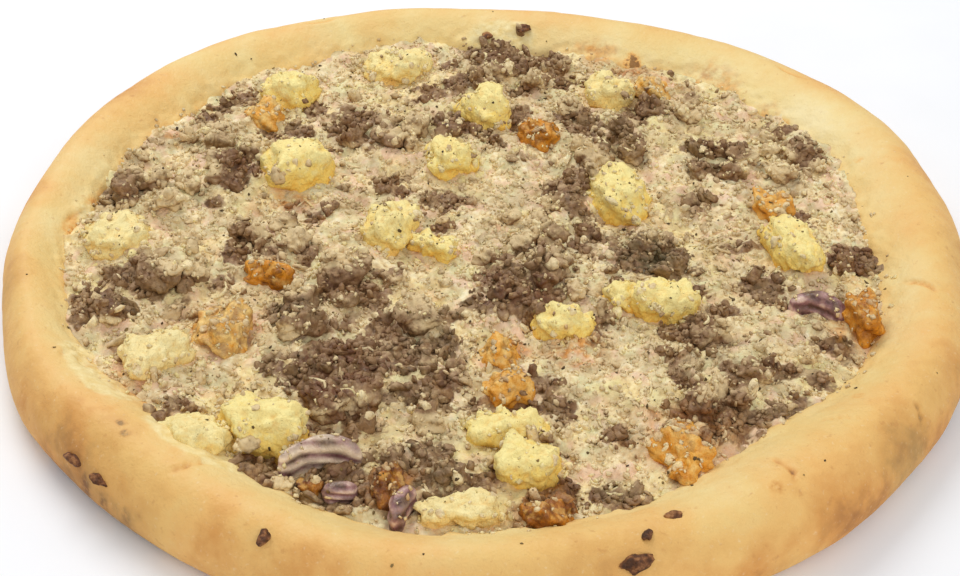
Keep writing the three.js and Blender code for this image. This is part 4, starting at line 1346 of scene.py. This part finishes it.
rimScraps = {
    "pieces": [
        (34, -132, 6.5, 4.2, 30), (36.5, -126, 3.2, 2.2, 80), (43, -119.5, 3.2, 2.4, 10),
        (-49.5, -126, 4.5, 2.6, 70), (-99.3, -95.8, 4.5, 2.6, -40), (-91.7, -103.1, 5, 2.8, -50),
        (-0.4, 115.8, 3.4, 3, 0), (11.6, 115.6, 4.6, 3.6, 40),
    ],
    "height": 0.45,  # share of its size
    "radius": 0.6,  # share of its size
    "lift": 0.12,  # share of its height
    "skin": (0.9, 0.34),
    "apart": 7.0,
    "steps": 7,
    "cuts": (6, 0.62, 0.35),
}


def brownedScrap():
    # brown, mottled and a little uneven
    material, tree = newMaterial("brownedScrap")
    colour = (0.7 * tree.mottle(1.6, 4) + 0.3 * tree.attribute("tone")).ramp(
        (0.1, 74, 42, 20), (0.5, 118, 72, 40), (0.9, 174, 120, 72))
    tree.surface(colour, 0.55, 0.6 * tree.mottle(1.3, 4) + 0.4 * tree.mottle(0.6, 3), 0.35)
    return material


def makeScraps(tree):
    # flat chipped balls lying on the rim
    x, y, across, along, turn = np.array(rimScraps["pieces"], float).T
    index = np.arange(len(x)) + 300
    z, _ = surfaceUnder(tree, x, y)
    ball, faces = ballGrid(rimScraps["steps"])
    up = rimScraps["height"] * across
    length, height = rimScraps["skin"]
    uneven = height * roughNoise(ball + rimScraps["apart"] * index[:, None, None], length, 3, 231)
    reach = chipped(ball, index, rimScraps["cuts"]) * (1 + uneven)
    shape = ball * reach[..., None] * np.stack([across, along, up], -1)[:, None] * rimScraps["radius"]
    shape = placedAt(shape, x, y, z + rimScraps["lift"] * up, turn)
    makeCopies("rim_scraps", shape, faces, brownedScrap(), {"tone": draw(index, 3)})


# Finely grated cheese: crumbs, grains and shreds lying on everything

grated = {
    "crumbs": 1300,
    "crumbSize": (1.6, 4.2),
    "largestTight": 2.6,  # near a lump or the rim
    "grains": 9200,
    "grainSize": (0.7, 1.9),
    "grainFlat": ((0.45, 0.35), (0.9, 0.65)),  # least and greatest width and height, as shares of the length
    "grainRadius": 0.62,  # share of its size
    "grainUneven": (0.75, 1.25),
    "grainTilt": 0.25,
    "grainLift": 0.3,  # share of its height
    "shreds": 300,
    "shredLength": (2.6, 7),
    "shredThickness": 1.1,
    "shredBend": 0.2,
    "shredRows": 5,
    "shredSides": 4,
    "steepest": 1.5,  # most that a shred's path may rise or fall
    "beyond": 6,  # how far grains stray onto the rim
    "onMince": 0.15,  # share of grains kept on bare mince
    "onYellow": 0.25,
    "onBrowned": 0.8,
}


def looseCheese():
    # cream of each crumb's own tone, with juice, specks and oil that holds painted shade in places
    material, tree = newMaterial("looseCheese")
    colour = (0.7 * tree.attribute("tone") + 0.3 * tree.mottle(1.4, 4)).ramp(
        (0, 176, 142, 100), (0.3, 224, 196, 146), (0.6, 248, 228, 180), (0.9, 254, 236, 164),
    )
    colour = oiledAndShaded(tree, veiled(tree, colour, 0.3), 0.6)
    colour = (tree.noise(1.1, 2, 6.6).step(0.7, 0.74) * 0.5).over(colour, paint(120, 92, 44))
    tree.surface(colour, 0.6, tree.mottle(0.9, 3), 0.18)
    return material


def makeCheeseCrumbs(tree, material):
    # crumbs most of all at the foot of the yellow lumps, and few on mince
    rng = np.random.default_rng(4)
    count = grated["crumbs"]
    x, y, beyond = scattered(rng, 6 * count)
    atFoot = nearLump(x, y, 2.6, yellowLumps["pieces"]) & ~nearLump(x, y, -1)
    wanted = np.where(atFoot, 0.55, 0.2) * (1 - 0.85 * minceUnder(x, y))
    wanted = np.where(nearLump(x, y, -1), 0.04, wanted)
    wanted = np.where(nearLump(x, y, 0, brownedLumps["pieces"]), 0.35, wanted)
    kept = chosen(rng, wanted, count)
    x, y = x[kept], y[kept]
    size = drawnSizes(rng, grated["crumbSize"], 2.2, len(x))
    tight = (beyond[kept] > -2) | nearLump(x, y, 0)
    size = np.where(tight, np.minimum(size, grated["largestTight"]), size)
    z, _ = surfaceUnder(tree, x, y)
    ball, faces = ballGrid(2)
    shape = crumbShape(ball, rng, size) + np.stack([x, y, z - 0.04 * size], -1)[:, None]
    tone = 0.35 + 0.4 * rng.uniform(0, 1, len(x)) + 0.25 * atFoot[kept] - 0.35 * minceUnder(x, y)
    values = {"tone": tone, "oilAndShade": spotsAt(x, y, "oilAndShade")}
    return makeCopies("cheese_crumbs", shape, faces, material, values)


def makeGrains(tree, material):
    # small uneven blocks lying on everything, fewer on mince and yellow cheese and thinning out over the rim
    rng = np.random.default_rng(5)
    count = grated["grains"]
    x, y, beyond = scattered(rng, 3 * count, grated["beyond"])
    wanted = 1 - (1 - grated["onMince"]) * minceUnder(x, y)
    wanted = np.where(nearLump(x, y, -1, yellowLumps["pieces"]), grated["onYellow"], wanted)
    wanted = np.where(nearLump(x, y, 0, brownedLumps["pieces"]), grated["onBrowned"], wanted)
    wanted = np.where(beyond > -1, 0.5 * np.exp(-np.maximum(beyond, 0) / 1.7), wanted)
    kept = chosen(rng, wanted, count)
    x, y = x[kept], y[kept]
    z, normals = surfaceUnder(tree, x, y)
    size = drawnSizes(rng, grated["grainSize"], 2, len(x))
    ball, faces = ballGrid(1)
    flat = rng.uniform(*grated["grainFlat"], (len(x), 2))
    sizes = size[:, None] * np.concatenate([np.ones((len(x), 1)), flat], axis=1)
    uneven = rng.uniform(*grated["grainUneven"], (len(x), len(ball), 1))
    shape = ball * sizes[:, None] * grated["grainRadius"] * uneven
    normals = unit(normals + rng.normal(0, grated["grainTilt"], normals.shape))
    place = np.stack([x, y, z], -1) + normals * (grated["grainLift"] * sizes[:, 2:])
    shape = turnedTo(normals, rng, shape) + place[:, None]
    onYellow = nearLump(x, y, 0.5, yellowLumps["pieces"])
    tone = rng.uniform(0.25, 0.85, len(x)) + np.where(onYellow, 0.3, -0.55 * minceUnder(x, y))
    values = {"tone": tone, "oilAndShade": spotsAt(x, y, "oilAndShade")}
    makeCopies("grated_cheese_grains", shape, faces, material, values)


def makeShreds(tree, material):
    # each shred is a bent strip of four sides along a path that follows what it lies on
    rng = np.random.default_rng(6)
    count, rows, sides = grated["shreds"], grated["shredRows"], grated["shredSides"]
    x, y, beyond = scattered(rng, 3 * count)
    wanted = np.where(nearLump(x, y, 0), 0.15, 0.8 - 0.4 * minceUnder(x, y)) * (beyond < -5)
    kept = chosen(rng, wanted, count)
    x, y = x[kept, None], y[kept, None]
    length = drawnSizes(rng, grated["shredLength"], 1.8, (len(x), 1))
    heading = rng.uniform(0, 2 * np.pi, (len(x), 1))
    t = np.linspace(-0.5, 0.5, rows)
    bend = rng.normal(0, grated["shredBend"], (len(x), 1))
    along, aside = t * length, bend * length * (4 * t * t - 0.4)
    cos, sin = np.cos(heading), np.sin(heading)
    path = np.stack([x + along * cos - aside * sin, y + along * sin + aside * cos])
    z, _ = surfaceUnder(tree, path[0].ravel(), path[1].ravel())
    z = z.reshape(-1, rows)
    level = np.ptp(z, axis=1) < grated["steepest"]
    x, y, z, heading = x[level], y[level], z[level], heading[level]
    path = path[:, level]
    z = np.maximum(0.5 * z + 0.5 * z.mean(axis=1, keepdims=True), z - 0.1)
    middle = np.stack([*path, z + 0.1], -1)
    across = np.stack([-sin[level], cos[level], 0 * heading], -1)
    angle = np.arange(sides) * 2 * np.pi / sides
    thick = grated["shredThickness"] * rng.uniform(0.7, 1.2, (len(x), 1)) * (1 - 1.4 * t * t) / 2
    ring = np.cos(angle)[:, None] * across[:, :, None] + np.sin(angle)[:, None] * np.array([0, 0, 0.8])
    grid = middle[:, :, None] + thick[..., None, None] * ring
    ends = middle[:, [0, -1]]
    shape = np.concatenate([grid.reshape(len(x), rows * sides, 3), ends], axis=1)
    values = {"tone": 0.3 + 0.5 * rng.uniform(0, 1, len(x)), "oilAndShade": spotsAt(x, y, "oilAndShade").ravel()}
    makeCopies("cheese_shreds", shape, gridFaces(rows, sides), material, values)


# Dried herbs

herbs = {
    "flakes": 1000,
    "size": (0.6, 1.7),
    "onRim": 26,
    "corners": 5,
    "ragged": (0.5, 1.1),
    "halves": (0.5, 0.34),  # half its length and width, as shares of its size
    "curl": 0.12,
    "thick": (0.06, 0.1),  # half its thickness at the edge and in the middle, as shares of its size
    "lift": 0.12,
    # where they lie thickest: pixel of the photograph across and down, reach in mm, how many times as thick
    "thicker": [(650, 255, 15, 3), (455, 310, 14, 2), (400, 225, 9, 2), (300, 160, 9, 2), (615, 205, 10, 2)],
}


def driedHerb():
    # dull green brown, a tone for each flake
    material, tree = newMaterial("driedHerb")
    colour = tree.attribute("tone").ramp(
        (0.1, 74, 54, 30), (0.5, 104, 82, 46), (0.9, 138, 112, 64))
    tree.surface(colour, 0.75, tree.noise(0.5, 2), 0.1)
    return material


def makeHerbs(tree):
    # flakes with a ragged outline of a few corners, thicker in the middle
    rng = np.random.default_rng(8)
    x, y, _ = scattered(rng, 6 * herbs["flakes"])
    most = max(times for *_, times in herbs["thicker"])
    wanted = (1 + patchAt(x, y, placesOf(herbs["thicker"], bedLevel))) / (1 + most)
    kept = chosen(rng, wanted, herbs["flakes"])
    angle = rng.uniform(0, 2 * np.pi, herbs["onRim"])
    edges = sectionAt(angle)[:, [dough["toppingEdge"], dough["sideEdge"]], 0]
    reach = edges[:, 0] + (edges[:, 1] - edges[:, 0]) * rng.uniform(0, 0.9, len(angle)) ** 1.5
    x = np.concatenate([x[kept], reach * np.cos(angle)])
    y = np.concatenate([y[kept], reach * np.sin(angle)])
    z, normals = surfaceUnder(tree, x, y)
    size = drawnSizes(rng, herbs["size"], 2, len(x))
    corners = herbs["corners"]
    turn = np.arange(corners) * 2 * np.pi / corners
    disc = np.stack([np.cos(turn), np.sin(turn), 0 * turn], -1)
    ring = disc * rng.uniform(*herbs["ragged"], (len(x), corners, 1)) * (*herbs["halves"], 1)
    ring[..., 2] = rng.uniform(-herbs["curl"], herbs["curl"], (len(x), corners))
    middle = np.zeros((len(x), 1, 3))
    edge, dome = (np.array((0, 0, half)) for half in herbs["thick"])
    flake = np.concatenate([ring + edge, ring - edge, middle + dome, middle - dome], axis=1)
    k = np.arange(corners)
    n = (k + 1) % corners
    faces = np.concatenate([
        np.stack([k, n, 0 * k + 2 * corners], -1),
        np.stack([n + corners, k + corners, 0 * k + 2 * corners + 1], -1),
        twoTriangles(k, k + corners, n + corners, n),
    ])
    flake = turnedTo(normals, rng, flake * size[:, None, None])
    flake = flake + (np.stack([x, y, z], -1) + normals * herbs["lift"])[:, None]
    values = {"tone": rng.uniform(0, 1, len(x))}
    makeCopies("herb_flakes", flake, faces, driedHerb(), values)


# Light and floor

lights = [  # name, place, size, watts
    ("keyLight", (-350, 620, 900), 700, 6.3),
    ("fillLight", (500, -900, 800), 1200, 5.2),
]
skyColour = (0.97, 0.98, 1)
skyStrength = 0.6
floorReach = 3  # metres from the middle to each side


def makeLight():
    # round area lights that face the pizza, and a pale sky
    for name, place, size, watts in lights:
        data = bpy.data.lights.new(name, "AREA")
        data.shape = "DISK"
        data.size = size * metres
        data.energy = watts
        place = Vector(place) * metres
        facing = place.to_track_quat("Z", "Y").to_matrix().to_4x4()
        addObject(name, data).matrix_world = Matrix.Translation(place) @ facing
    world = bpy.data.worlds.new("softStudio")
    world.use_nodes = True
    sockets = world.node_tree.nodes["Background"].inputs
    sockets["Color"].default_value = (*skyColour, 1)
    sockets["Strength"].default_value = skyStrength
    bpy.context.scene.world = world
    bpy.context.scene.view_settings.view_transform = "Standard"


def makeFloor():
    # a level pale square
    corners = np.array([(-1, -1, 0), (1, -1, 0), (1, 1, 0), (-1, 1, 0)]) * float(floorReach)
    mesh = bpy.data.meshes.new("floor")
    mesh.from_pydata(corners.tolist(), [], [(0, 1, 2, 3)])
    material, tree = newMaterial("paleFloor")
    grain = tree.noise(40, 2).ramp((0.3, 244, 245, 247), (0.7, 247, 248, 250))
    tree.surface(grain, 0.6, tree.noise(3, 2), 0.02)
    mesh.materials.append(material)
    addObject("floor", mesh)


makeCamera()
makeLight()
makeFloor()
crust = makeDough()
meshes = [crust, makeBed(), *makeLumps()]
mince = friedMince()
meshes.append(makeMinceLumps(mince))
landing = landingOn(meshes)
meshes.append(makeCrumbs("mince_crumbs", landing, mince, 2))
landing = landingOn(meshes)
meshes.append(makeCrumbs("mince_bits", landing, mince, 3))
cheese = looseCheese()
meshes.append(makeCheeseCrumbs(landing, cheese))
landing = landingOn(meshes)
makeGrains(landing, cheese)
makeShreds(landing, cheese)
makeHerbs(landing)
makeScraps(landing)
